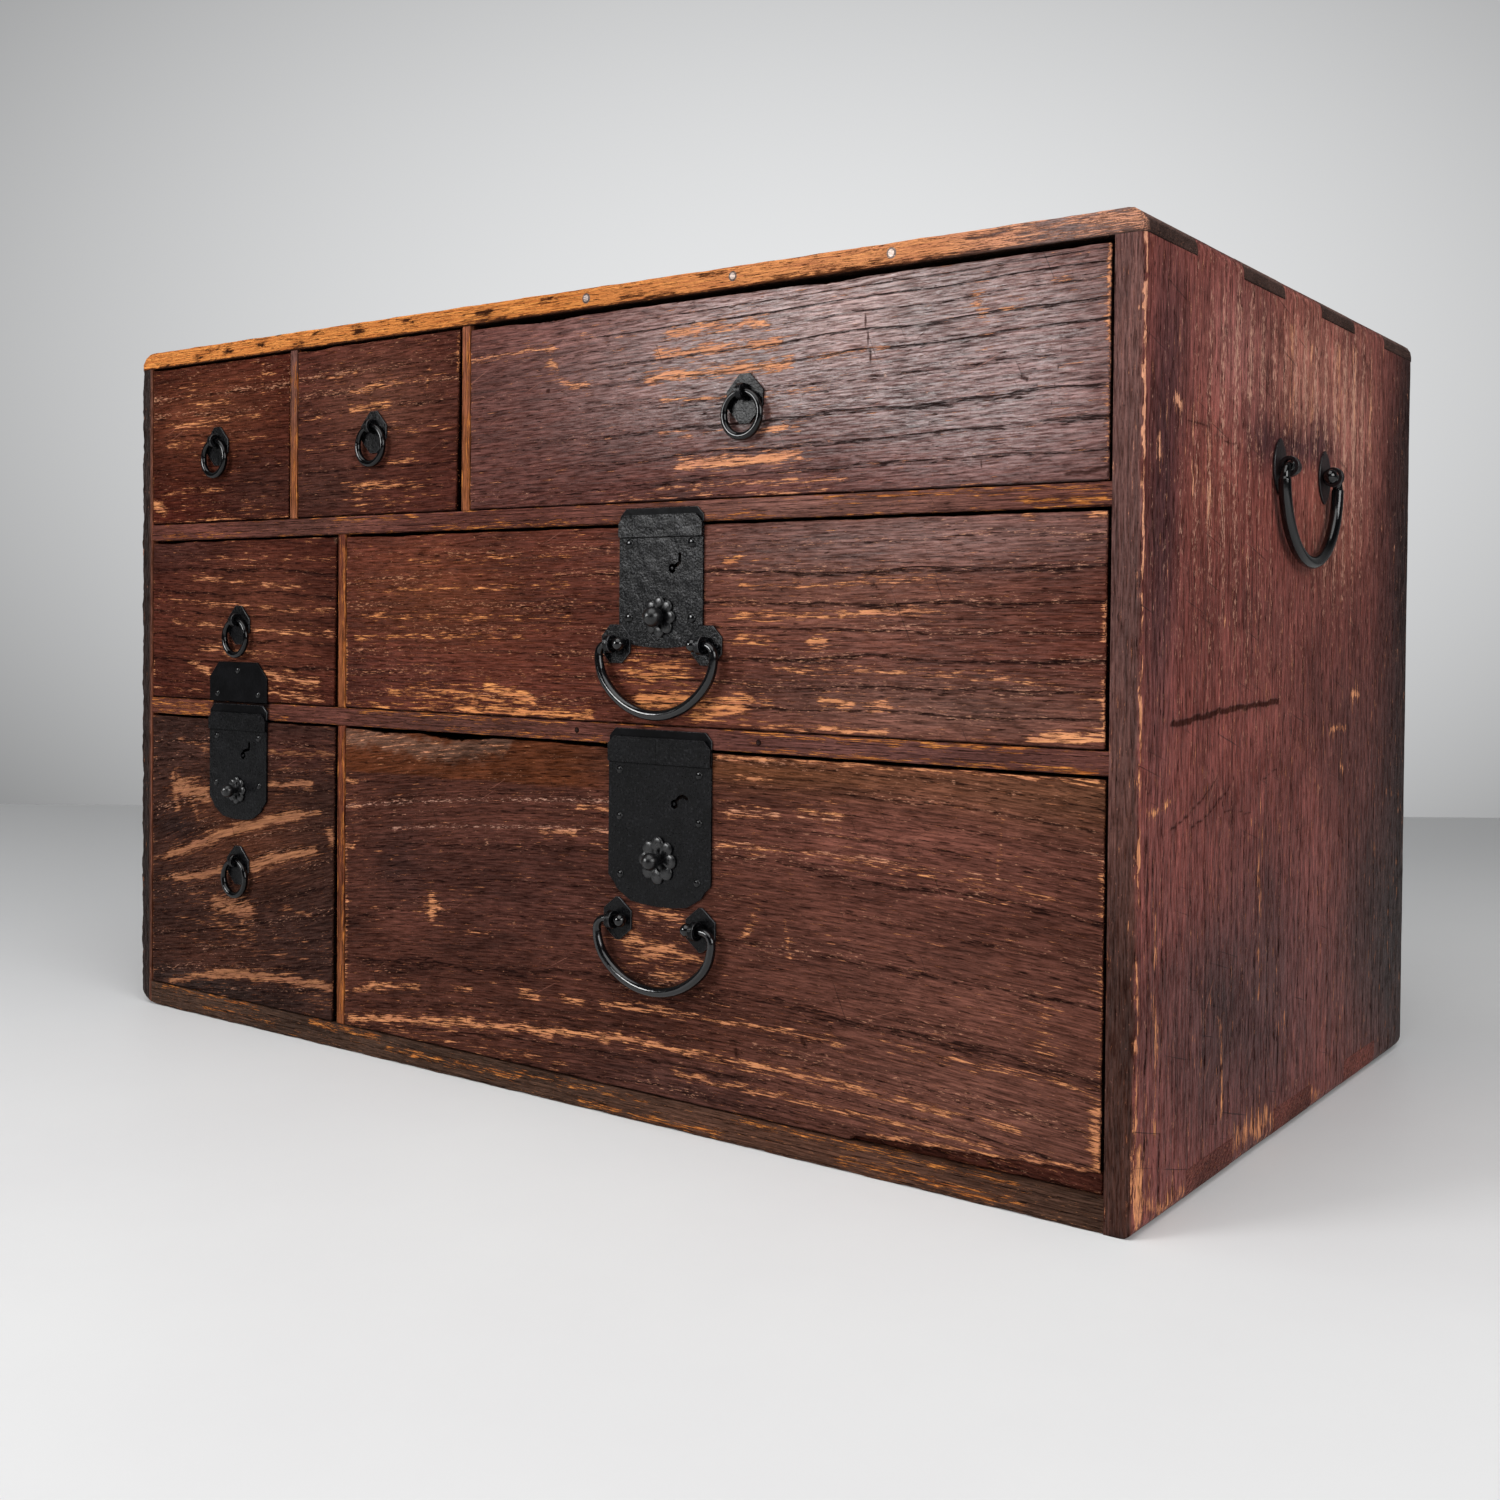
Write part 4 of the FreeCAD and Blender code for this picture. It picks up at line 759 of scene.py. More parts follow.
def knob_height(name):
    """The knob is at the middle of its washer, the slider's lowest part."""
    return box_mm(name + "_lock_slider")[0][2] + WASHERS[name] / 2


def lock_middle(name):
    """x of the middle of a front's lock, in the frame's millimetres."""
    low, high = box_mm(name + "_lock_slider")
    return (low[0] + high[0]) / 2


def lock_lines(name):
    """Grid lines on both sides of the two walls of a hollow over or under a lock."""
    middle = lock_middle(name)
    return [middle + side for side in (-LOCK_WIDTH - 0.1, -LOCK_WIDTH, LOCK_WIDTH, LOCK_WIDTH + 0.1)]


def chip_height(x):
    """Height of the splinter's scar over the lower edge, in ragged steps."""
    return np.interp(x, *np.transpose(CHIP)) * (1 + 0.07 * ripple(x, 61, 17))


def shrinking(name, low, high, seed):
    """How a shrunk and chewed board falls short of its opening. Grid lines near its upper
    edge come down, and those near its right edge come in, by what is lost there times
    the square of their nearness."""
    def nudge(u, v, w):
        x = u - LEFT
        lost = SHRUNK[name][0] + 0.14 * (1 + ripple(x, seed + 3, 45))
        for first, last, deep in CHEWED.get(name, ()):
            share = clamp((x - first) / (last - first))
            lost = lost + deep * np.sin(math.pi * share) * (0.75 + 0.5 * np.abs(ripple(x, seed + 4, 16)))
        near = clamp(1 - (high[2] - v) / PULLED) ** 2
        down = (high[2] - v) / (high[2] - low[2])
        side = (SHRUNK[name][1] * (1 - down) + SHRUNK[name][2] * down) + 0.12 * ripple(v, seed + 5, 40)
        beside = clamp(1 - (high[0] - u) / PULLED) ** 2
        return u - np.clip(side, 0, None) * beside, v - lost * near, w

    return nudge


def front_piece(name):
    """Skin of a drawer front: rounded edges, hollow under a lock, chewed edge and chip."""
    low, high = box_mm(name + "_front")
    seed = sorted(FRONTS).index(name) * 10
    ups, acrosses = [], []
    lock = name in WASHERS
    if lock:                   # the hollow under the knob
        knob = knob_height(name)
        middle = lock_middle(name)
        acrosses = lock_lines(name)
        ups = [knob - LOCK_UNDER - 0.1, knob - LOCK_UNDER]
    us = grid_lines(low[0], high[0], 1.25, acrosses, 1.1, 1.1)
    vs = grid_lines(low[2], high[2], 0.85, ups, 1.1, 1.1)

    def depth(u, v):
        radius = 1.05 + 0.4 * ripple(u, seed, 60) + 0.3 * ripple(v, seed + 1, 30)
        radius = np.clip(radius, 0.45, 2.0)
        w = (rounding(v - low[2], radius) + rounding(high[2] - v, radius * 1.15)
             + rounding(u - low[0], radius) + rounding(high[0] - u, radius))
        w = np.minimum(w, 2.2) + 0.12 * (1 + ripples(u, v * 3, seed + 2, 160))
        if name == "bottom_right":
            hollow = clamp((chip_height(u - LEFT) - (v - low[2])) / 0.9)
            w = w + CHIP_DEEP * hollow * (1 + 0.12 * ripple(u, 62, 23))
        if lock:
            under = (np.abs(u - middle) < LOCK_WIDTH + 0.05) & (v > knob - LOCK_UNDER - 0.05)
            w = np.where(under, LOCK_DEEP, w)
        return w

    layers = np.array([0.06, 0.14, 0.3, 0.6, 1.0])
    return board_skin("front", low[1], us, vs, high[1] - low[1], depth, None, layers,
                      shrinking(name, low, high, seed))


# %% Painting the fronts
def wood_paint(grain, stain, worn, fleck, growth, figure, gloss, pale_and_sheen=0.0, scuffed=0.0, scored=0.0,
               dirt_and_shade=0.0):
    """The attributes of stained wood; single numbers are spread over every point."""
    count = len(grain)
    spread = {"worn": worn, "fleck": fleck, "growth": growth, "figure": figure, "gloss": gloss,
              "pale_and_sheen": pale_and_sheen, "scuffed": scuffed, "scored": scored, "dirt_and_shade": dirt_and_shade}
    paint = {key: np.array(np.broadcast_to(value, count), float) for key, value in spread.items()}
    return {**paint, "grain": grain, "stain": stain}


def flowed(name, x, y):
    """Height y as the grain runs: level lines of it are the growth lines on the board."""
    if name == "bottom_right":        # an arch: cut from near the heart of the tree
        return y + 16 * (1 - ((x - 430) / 250) ** 2)
    if name == "bottom_left":
        return y + np.interp(y, (201, 235, 270, 340), (0.0, 0.1, 0.25, 0.13)) * (x - 90)
    return y + FRONTS[name]["rise"] * (x - np.mean([x.min(), x.max()]))


# colours where the stain differs, and on the top right front partly a painted sheen: colour, middle x, y,
# half widths
TINTS = {
    "top_left": (("5a3020", 60, 40, 60, 26), ("3c211a", 110, 80, 40, 20)),
    "top_middle": (("5c382c", 200, 40, 46, 24), ("41261f", 160, 80, 40, 20)),
    # the first three, pale grey-pink at the upper right: partly a painted sheen where the old lacquer
    # reflects the light
    "top_right": (("7c5a55", 420, 34, 120, 30), ("8a6a64", 480, 24, 90, 18),
                  ("75524e", 560, 66, 70, 40), ("52302a", 270, 66, 60, 34)),
    "middle_left": (("562f22", 100, 150, 70, 40), ("3d221c", 30, 110, 50, 12)),
    "middle_right": (("5c301e", 240, 138, 60, 26), ("4a241b", 210, 176, 50, 20),
                     ("6c4438", 480, 135, 80, 26), ("6f4b40", 520, 180, 90, 14),
                     ("74524b", 520, 112, 90, 12)),
    "bottom_left": (("4a2a1d", 90, 262, 60, 30), ("3a2119", 60, 330, 60, 16),
                    ("44261f", 140, 215, 50, 12), ("291c1a", 36, 262, 22, 7),
                    ("2b211e", 60, 346, 60, 6)),
    "bottom_right": (("6e4326", 480, 208, 90, 6), ("6c4630", 560, 210, 90, 12),
                     ("38231f", 219, 266, 18, 18), ("603b31", 520, 280, 90, 26),
                     ("653d33", 520, 235, 80, 30), ("4a2b24", 300, 270, 90, 34),
                     ("6c453a", 540, 330, 80, 30), ("4a2e28", 400, 345, 60, 12)),
}
# knocks and scratches that are darker than the stain, as streaks
GOUGES = {
    "top_right": ((1.1, 1.0, (316.6, 43.5), (317.4, 43.5)), (0.7, 0.84, (488, 25), (492, 47)),
                  (0.5, 0.66, (521, 30), (503, 49)), (0.5, 0.66, (575, 42), (570, 67)),
                  (1.2, 0.8, (576, 93), (592, 91)), (1.0, 0.9, (558, 57), (560, 57)),
                  (0.8, 0.7, (541, 86), (542, 90)), (0.5, 0.5, (455, 58), (452, 70))),
    "middle_right": ((0.9, 0.8, (493, 131), (496, 134)), (0.7, 0.66, (512, 146), (512, 150))),
    "bottom_right": ((0.7, 0.5, (531, 243), (531, 290)), (1.1, 0.9, (461, 314), (463, 317)),
                     (1.1, 0.9, (427, 324), (428, 327)), (0.9, 0.5, (300, 262), (318, 262))),
    "bottom_left": ((0.9, 0.6, (27, 225), (33, 236)),),
}
# the keyhole beside the middle of its lock and under the edge; the wood behind it is painted black, as the
# shade inside the hole
KEYHOLES = {"middle_right": (6.5, 19.0), "bottom_right": (8.6, 23.2), "bottom_left": (4.6, 18.6)}
# torn fibres, greyer than the bare wood
TORN = {"bottom_right": ((4.8, 1.0, (178, 206), (200, 205), (225, 208), (250, 210), (270, 207), (290, 203)),),
        "middle_left": ((1.6, 1.0, (168, 105), (170, 108)),)}
# boards whose left part is cut so that its year rings hardly show: up to this x, or around
# a middle x, y with half widths
PLAIN_TO = {"top_right": 350, "middle_right": 330}
PLAIN_AT = {"bottom_right": (330, 272, 150, 34)}
# on the lower right front: the redder band's lower edge y and right end x, where the pale
# rim of the scar starts, and rows of pale flecks by level, each from an x on
BAND_FOOT, BAND_END, RIM_FROM = 223.5, 362, 492
PALE_ROWS = ((240.5, 0), (253, 212))
# where old lacquer is still smooth: how much, middle x, y, half widths
SMOOTH = {"top_right": ((1.0, 470, 27, 108, 28), (0.46, 430, 62, 110, 26), (0.50, 545, 50, 60, 30),
                        (0.36, 545, 80, 70, 20)),
          "middle_right": ((0.34, 500, 116, 110, 15), (0.16, 520, 160, 80, 24))}


def year_rings(name, x, y, level, seed):
    """Which year ring a point is in, counted by its level, and how strong that ring is:
    weak past the first and the last one and where the board was cut plain."""
    rings = np.array(FRONTS[name]["rings"], float)
    growth = np.interp(level, rings, np.arange(len(rings)))
    outside = (level < rings[0]) | (level > rings[-1])
    figure = FRONTS[name]["lines"] * np.where(outside, 0.3, 1 + 0.4 * ripple(growth, seed, 3.1))
    if name in PLAIN_AT:
        figure = figure * (0.35 + 0.65 * (1 - patch(x, y, *PLAIN_AT[name])))
    if name in PLAIN_TO:
        figure = figure * np.clip((x - PLAIN_TO[name] + 60) / 120, 0.15, 1)
    return growth, figure


def scar_and_band(x, y, s, foot, stain, worn, fleck, figure):
    """Two marks of the lower right front: the scar of its lost splinter with a pale rim,
    and a band of redder wood whose straight lower edge runs across the grain lines."""
    scar = clamp((chip_height(x) - (foot - y)) / 0.8) * (s > 1)
    rim = np.exp(-((chip_height(x) + 1.0 - (foot - y)) / 0.9) ** 2) * (x > RIM_FROM)
    worn = np.where(scar > 0.3, 0.05, np.maximum(worn, 0.85 * rim))
    fleck = fleck + 0.16 * clamp((x - 300) / 100)
    band = clamp((BAND_FOOT - 0.012 * (x - 176) - y + 0.4 * ripple(x, 65, 60)) / 1.2)
    band = band * clamp((BAND_END - x) / 30)
    stain = towards(towards(stain, "43221a", scar), "562d19", band)
    return scar, stain, worn, fleck, figure * (1 - 0.6 * band)


def front_paint(name, points):
    """Wear, stain and year rings of a front from the lists above."""
    board = FRONTS[name]
    x, y, s = maker_xys(points)
    low, high = box_mm(name + "_front")
    box = (low[0] - LEFT, TOP - high[2], high[0] - LEFT, TOP - low[2])
    seed = sorted(FRONTS).index(name) + 3
    level = flowed(name, x, y)
    growth, figure = year_rings(name, x, y, level, seed)
    wander = ripple(x + 2.3 * y, seed, 31)
    worn = board["wear"] * streaks(x, y, WORN[name])
    worn = np.maximum(worn, (0.42 + 0.30 * wander) * clamp(1 - rim_distance(x, y, box) / 1.5))
    stain = stained(len(x), board["stain"],
                    [(colour, 0.9 * patch(x, y, *oval)) for colour, *oval in TINTS[name]])
    fleck = board["fleck"] + 0.22 * ripples(x, 4 * y, seed, 120)
    if name in ("top_left", "top_middle"):
        fleck = fleck + 0.48 * clamp((46 - y) / 14)
    scar = 0.0
    if name == "bottom_right":
        scar, stain, worn, fleck, figure = scar_and_band(x, y, s, box[3], stain, worn, fleck, figure)
    torn = clamp(2.2 * streaks(x, y, TORN.get(name, ())) - 0.8 + 0.5 * ripples(x, y, 64, 9))
    stain = towards(stain, "644638", torn)
    worn = np.maximum(worn, 0.30 * torn)
    pale_and_sheen = np.maximum(board["pale_and_sheen"], 0.5 * torn)
    if name == "middle_right":
        pale_and_sheen = pale_and_sheen + 0.20 * clamp((x - 400) / 100)
    if name == "bottom_right":        # two rows of pale flecks along the grain
        rows = sum(np.exp(-((level - row) / 1.3) ** 2) * (x > start) for row, start in PALE_ROWS)
        fleck = fleck + 1.5 * rows * (x < 400)
        pale_and_sheen = pale_and_sheen + 0.35 * clamp(rows)
    gouged = streaks(x, y, GOUGES.get(name, ()))
    if name in KEYHOLES:
        aside, down = KEYHOLES[name]
        behind = np.hypot(x - (lock_middle(name) - LEFT) - aside, y - box[1] - down) < 10
        # painted shade: the wood seen through the keyhole, darkened nearly to black
        stain = stain * (1 - 0.97 * behind[:, None])
        worn, fleck = worn * ~behind, fleck * ~behind
    resting = clamp(1.4 - (box[3] - y) / 0.7) * (1 - scar)     # the shadow at its foot
    worn = worn * (1 - gouged) * (1 - resting)
    stain = stain * (1 - 0.85 * resting[:, None])
    deep = clamp((s - 0.6) / 0.7) * (1 - scar)                 # painted shade: the board's sides, darkened nearly to black as the gaps would shade them, and wholly black from 4 mm in but near the foot
    stain = stain * (1 - (0.90 + 0.09 * (s > 4) * (y < box[3] - 4))[:, None] * deep[:, None])
    grain = np.stack([x + 900.0 * seed, level, s], axis=1)
    gloss = board["gloss"] + sum(amount * patch(x, y, *oval) for amount, *oval in SMOOTH.get(name, ()))
    return wood_paint(grain, stain, worn * (1 - deep), fleck * (1 - deep), growth, figure,
                      clamp(gloss) * (1 - deep), clamp(pale_and_sheen), 0.25, gouged, board["dirt_and_shade"])


count = 0
for name in FRONTS:
    skin = front_piece(name)
    make_piece(name + "_front_wood", skin, stained_kiri, name + "_drawer",
               [name + "_front"], front_paint(name, skin[0]))
    count += len(skin[1])
print("seven fronts with", count, "faces")

# %% [markdown]
# ## Rails, uprights and the outer boards
# The case is made of thin boards. The shelves between the rows show only their front
# edges, and so do the uprights. The outer boards meet at the corners in long fingers,
# which is how a joiner locks thin boards without nails, so the end grain of one board
# shows between the fingers of the other. The corners are worn round, at the left the
# most.

# %% Shelves and uprights
def strip_paint(points, colour, seed, upright, tints=(), marks=(), fleck=0.4):
    """Paint of a board whose edge shows: grain along the edge, worn arrises."""
    x, y, s = maker_xys(points)
    along, across = (y, x) if upright else (x, y)
    ends = np.minimum(across - across.min(), across.max() - across)
    worn = (0.40 + 0.26 * ripple(along, seed, 26)) * clamp(1 - ends / 1.2)
    worn = np.maximum(worn, 0.85 * streaks(x, y, marks)) * clamp(1 - (s - 2.0) / 3.0)
    stain = stained(len(x), colour, [(tint, patch(x, y, *oval)) for tint, *oval in tints])
    # painted shade: darker from 1.5 mm behind the front edge, inside the case
    stain = stain * (1 - 0.75 * clamp((s - 1.5) / 3.0)[:, None])
    grain = np.stack([along + 700.0 * seed, across * 1.6, s], axis=1)
    return wood_paint(grain, stain, worn, fleck, across / 3.2, 0.5, 0.15)


POCKET_HIGH = 5.4              # of the hollow that takes a raised bolt


def edge_board(low, high, seed, locks=()):
    """Skin of a board seen from its front edge, low and high in mm. Its underside is
    hollow over each lock, in the layers between 4.5 and 8.5 mm behind the front."""
    sides = [line for lock in locks for line in lock_lines(lock)]
    us = grid_lines(low[0], high[0], 2.0, sides, 0.8, 0.8)
    vs = grid_lines(low[2], high[2], 1.0, (), 0.9, 0.9)

    def depth(u, v):
        radius = np.clip(0.8 + 0.35 * ripple(u + v, seed, 34), 0.3, 1.5)
        w = rounding(v - low[2], radius) + rounding(high[2] - v, radius)
        return np.minimum(w, 1.6) + 0.1 * (1 + ripples(u, v, seed, 90))

    deep = high[1] - low[1]

    def nudge(u, v, w):
        worn_off = depth(u, v)
        layer = (w - worn_off) / (deep - worn_off) * deep
        hollow = np.zeros(len(u), bool)
        for lock in locks:
            hollow |= ((np.abs(u - lock_middle(lock)) < LOCK_WIDTH + 0.05)
                       & (np.abs(v - low[2]) < 0.01) & (layer > 4.55) & (layer < 8.45))
        return u, v + POCKET_HIGH * hollow, np.where(layer > 2, layer, w)

    layers = np.array([2.2, 3.2, 4.5, 4.6, 8.4, 8.5, 60.0, 150.0, deep]) / deep
    return board_skin("front", low[1], us, vs, deep, depth, None, layers, nudge)


RAIL_MARKS = {
    "upper_shelf": [(1.2, 0.55, (20, 102.5), (90, 103)), (1.2, 0.6, (350, 102), (440, 102.5)),
                    (1.6, 0.78, (560, 102.3), (592, 101.6)), (1.3, 0.62, (170, 97), (230, 97)),
                    (1.2, 0.6, (470, 97.2), (590, 97.4)), (1.1, 0.6, (240, 103.4), (330, 103.2))],
    "lower_shelf": [(2.2, 0.62, (10, 194), (60, 195)), (1.3, 0.66, (18, 199), (130, 199)),
                    (1.4, 0.6, (190, 192.6), (330, 192.6)), (1.2, 0.62, (250, 199), (350, 199.2)),
                    (1.3, 0.72, (430, 192.4), (560, 192.4)), (1.2, 0.66, (440, 199.3), (590, 199.2))],
}
RAIL_TINTS = {
    # the pale tint at the right of the upper shelf is partly a painted sheen
    "upper_shelf": (("775249", 470, 100, 90, 9), ("5a3830", 150, 100, 60, 9)),
    "lower_shelf": (("5d3426", 60, 196, 60, 6), ("57362e", 260, 196, 80, 9), ("64403a", 500, 196, 90, 9)),
}
RAIL_LOCKS = {"upper_shelf": ["middle_right"], "lower_shelf": ["bottom_right", "bottom_left"]}
for seed, name in enumerate(RAIL_MARKS, 20):
    low, high = box_mm(name)
    low[0], high[0] = INNER_LEFT, INNER_RIGHT
    skin = edge_board(low, high, seed, RAIL_LOCKS[name])
    paint = strip_paint(skin[0], "5e362e", seed, False, RAIL_TINTS[name], RAIL_MARKS[name])
    if name == "lower_shelf":              # darkened nearly to black between the two plates of the left lock
        darkened_strip = np.abs(skin[0][:, 0] - lock_middle("bottom_left")) < 24.6
        paint["stain"] = paint["stain"] * (1 - 0.95 * darkened_strip[:, None])
        paint["worn"], paint["fleck"] = paint["worn"] * ~darkened_strip, paint["fleck"] * ~darkened_strip
    make_piece(name + "_wood", skin, stained_kiri, "carcass", [name], paint)

BETWEEN = {"upper_left_divider": ("upper_shelf", "top_board"),
           "middle_divider": ("lower_shelf", "upper_shelf"),
           "upper_right_divider": ("upper_shelf", "top_board"),
           "lower_divider": ("bottom_board", "lower_shelf")}
RUB_LONG, RUB_EVERY = 26, 37       # rubbed stretches of an upright's edge: length and spacing
UPRIGHT_STAIN = {"upper_left_divider": "6f4c45", "upper_right_divider": "8c543d",
                 "middle_divider": "653428", "lower_divider": "6a3826"}
for seed, (name, (under, over)) in enumerate(BETWEEN.items(), 30):
    low, high = box_mm(name)
    low[2], high[2] = box_mm(under)[1][2], box_mm(over)[0][2]
    skin = edge_board(low, high, seed)
    middle = (low[0] + high[0]) / 2 - LEFT
    top_y, foot_y = TOP - high[2], TOP - low[2]
    marks = [(1.2, 0.72, (middle + 1.4, y), (middle + 1.2, y + RUB_LONG))
             for y in range(int(top_y) + 8, int(foot_y) - 22, RUB_EVERY)]
    tints = (("8d5332", middle + 2, foot_y - 18, 9, 40),)
    make_piece(name + "_wood", skin, stained_kiri, "carcass", [name],
               strip_paint(skin[0], UPRIGHT_STAIN[name], seed, True, tints, marks))
print("two rails and", len(BETWEEN), "uprights")

# %% Outer boards with finger joints
FINGERS = 7
FINGER = (BACK - FRONT) / FINGERS
# at the left and at the right: how far a rounding goes along the board and how far up
TOP_ROUND, FOOT_ROUND = ((13.0, 9.5), (7.0, 7.0)), ((18.0, 11.0), (5.0, 5.0))
HEEL_ROUND = 8.0
JOINT_GAP = 0.07               # a fine dark line between two fingers
BOARD_UNDER = box_mm("top_board")[0][2]        # underside of the top board
BOARD_OVER = box_mm("bottom_board")[1][2]      # upper side of the bottom board
LINES = [FRONT + i * FINGER + side for i in range(1, FINGERS) for side in (-JOINT_GAP, JOINT_GAP)]


def in_fingers(y, which):
    """Whether a depth lies inside a finger of a board: 0 for the even, 1 for the odd."""
    number = np.floor((y - FRONT) / FINGER)
    inside = np.abs((y - FRONT) / FINGER - number - 0.5) < 0.5 - JOINT_GAP / FINGER * 0.5
    return (number % 2 == which) & (inside | (y < FRONT + JOINT_GAP) | (y > BACK - JOINT_GAP))


def middles(lines):
    """Halfway between each line and the next."""
    return (lines[:-1] + lines[1:]) / 2


def flat_board(name, face, which, round_end, seed):
    """Top or bottom board: fingers at both ends, rounded over, edges worn."""
    low, high = box_mm(name)
    plane = high[2] if face == "top" else low[2]
    us = grid_lines(low[0], high[0], 3.0, (INNER_LEFT, INNER_RIGHT), round_end[0][0], round_end[1][0])
    vs = grid_lines(low[1], high[1], 3.0, LINES, 1.4, HEEL_ROUND if face == "foot" else 1.4)
    across, deep = np.meshgrid(middles(us), middles(vs), indexing="ij")
    kept = ((across > INNER_LEFT) & (across < INNER_RIGHT)) | in_fingers(deep, which)

    def depth(u, v):
        radius = np.clip(1.3 + 0.6 * ripple(u, seed, 42), 0.5, 2.2)
        w = np.maximum(*(rounding(off * up / along, up)
                         for off, (along, up) in zip((u - low[0], high[0] - u), round_end)))
        w = np.minimum(w, high[2] - low[2] - 0.4)
        w = np.maximum(w, rounding(v - low[1], radius))
        back = HEEL_ROUND if face == "foot" else radius
        return np.maximum(w, rounding(high[1] - v, back))

    def nudge(u, v, w):
        corner = rounding(v - low[1], 1.8)
        return np.clip(u, low[0] + corner, high[0] - corner), v, w

    return board_skin(face, plane, us, vs, high[2] - low[2], depth, kept, 6, nudge)


def side_board(name, face, seed):
    """A side board: fingers above and below, rounded over, with a worn front arris."""
    low, high = box_mm(name)
    plane = high[0] if face == "right" else low[0]
    over, under = (pair[face == "right"] for pair in (TOP_ROUND, FOOT_ROUND))
    us = grid_lines(low[1], high[1], 1.4, LINES, 1.8, 1.4)
    vs = grid_lines(low[2], high[2], 1.4, (BOARD_OVER, BOARD_UNDER), under[1], over[1])
    deep, up = np.meshgrid(middles(us), middles(vs), indexing="ij")
    kept = (up > BOARD_OVER) & (up < BOARD_UNDER)
    kept |= (up > BOARD_UNDER) & in_fingers(deep, 1)
    kept |= (up < BOARD_OVER) & in_fingers(deep, 0)

    def depth(u, v):
        radius = np.clip(1.6 + 0.7 * ripple(v, seed, 37) + 0.3 * ripple(v, seed + 1, 9), 0.5, 3.0)
        w = np.maximum(*(rounding(off * along / up, along)
                         for off, (along, up) in zip((v - low[2], high[2] - v), (under, over))))
        w = np.minimum(w, high[0] - low[0] - 0.6)
        w = np.maximum(w, rounding(u - low[1], radius))
        w = np.maximum(w, rounding(high[1] - u, 1.2))
        return w + 0.12 * (1 + ripples(u, v, seed + 2, 120))

    def nudge(u, v, w):
        limit = BACK - np.where(v < FOOT + HEEL_ROUND, rounding(v - FOOT, HEEL_ROUND), 0.0)
        least, most = (rounding(w * up / along, up) for along, up in (under, over))
        return np.minimum(u, limit), np.clip(v, low[2] + least, high[2] - most), w

    return board_skin(face, plane, us, vs, high[0] - low[0], depth, kept, 6, nudge)


print("fingers", round(FINGER, 1), "mm wide")

# %% Painting the outer boards
# the side board: colours and streaks by depth from the front and height from the top; the near-black colours
# at the back edge are painted shade, as less light reaches there
SIDE_TINTS = (("8a5650", 90, 40, 40, 34), ("945f52", 175, 40, 46, 36), ("8e584d", 240, 50, 44, 50),
              ("82493c", 205, 108, 46, 26), ("713b32", 60, 95, 40, 34), ("6b3a34", 150, 150, 70, 50),
              ("573433", 120, 300, 90, 60), ("6f3a34", 60, 210, 40, 50),
              ("201617", 322, 150, 60, 190), ("1d1615", 330, 150, 24, 400),
              ("55302c", 232, 190, 60, 40), ("2c2524", 300, 300, 90, 100),
              ("4f302e", 90, 300, 70, 50), ("52312f", 26, 44, 20, 36), ("553332", 16, 130, 14, 90),
              ("4a2a2a", 120, 72, 16, 14), ("46282a", 190, 62, 20, 12), ("3a2024", 160, 70, 50, 8),
              ("3c2022", 20, 90, 14, 60))
SIDE_MARKS = [
    (3.0, 0.62, (150, 20), (152, 60)), (2.4, 0.60, (176, 22), (177, 56)),
    (3.4, 0.60, (212, 20), (214, 54)), (2.6, 0.58, (236, 18), (238, 58)),
    (2.6, 0.56, (262, 22), (262, 60)), (2.2, 0.50, (60, 72), (62, 112)),
    (2.0, 0.48, (44, 66), (46, 96)), (1.6, 0.8, (14, 79), (14, 86)), (2.0, 0.85, (28, 64), (33, 66)),
    (1.2, 0.85, (12, 214), (30, 211)), (1.8, 0.8, (240, 178), (250, 178)),
    (1.6, 0.7, (210, 193), (230, 193)), (1.4, 0.75, (225, 211), (227, 212)),
    (6.0, 0.62, (98, 352), (140, 355)), (4.0, 0.60, (186, 354), (195, 358)),
    (4.6, 0.80, (4, 334), (5, 356)), (2.6, 0.7, (8, 352), (26, 360)),
    (3.0, 0.58, (30, 358), (90, 360)), (1.8, 0.55, (16, 250), (18, 330)),
    (1.8, 0.52, (80, 300), (82, 350)), (1.6, 0.5, (120, 230), (121, 300))]
SIDE_DARK = [
    (1.3, 1.0, (28, 183), (80, 179.5), (140, 178)), (0.8, 0.75, (28, 222), (52, 215), (72, 206)),
    (0.8, 0.75, (48, 223), (66, 218), (86, 210)), (0.8, 0.7, (80, 219), (110, 222)),
    (0.8, 0.7, (112, 212), (140, 206)), (1.0, 0.7, (40, 71), (60, 71)),
    (1.0, 0.7, (66, 74), (92, 76)), (5.0, 0.42, (25, 272), (60, 284), (110, 298)),
    (1.6, 0.8, (139, 318), (141, 321)), (0.8, 0.6, (150, 236), (190, 232)),
    (7.0, 0.36, (30, 216), (80, 214), (140, 206))]
TOP_MARKS = [
    (4.2, 0.96, (3, 2), (18, 3)), (3.8, 0.92, (56, 3), (70, 3)), (4.4, 1.0, (84, 3), (104, 3)),
    (3.2, 0.86, (116, 4), (128, 3)), (4.4, 1.0, (184, 3), (206, 3)), (3.0, 0.82, (226, 5), (244, 4)),
    (3.8, 0.92, (262, 3), (276, 3)), (3.4, 0.88, (286, 4), (296, 3)), (3.2, 0.82, (318, 3), (334, 3)),
    (2.6, 0.76, (350, 5), (400, 4)), (2.8, 0.78, (408, 3), (440, 4)), (2.6, 0.78, (456, 4), (490, 3)),
    (2.4, 0.72, (506, 4), (524, 4)), (2.6, 0.66, (548, 3), (575, 3)), (3.2, 0.84, (584, 3), (604, 4)),
    (2.0, 0.68, (20, 7), (80, 7)), (2.0, 0.66, (130, 8), (182, 8)), (1.6, 0.62, (300, 8), (420, 8))]
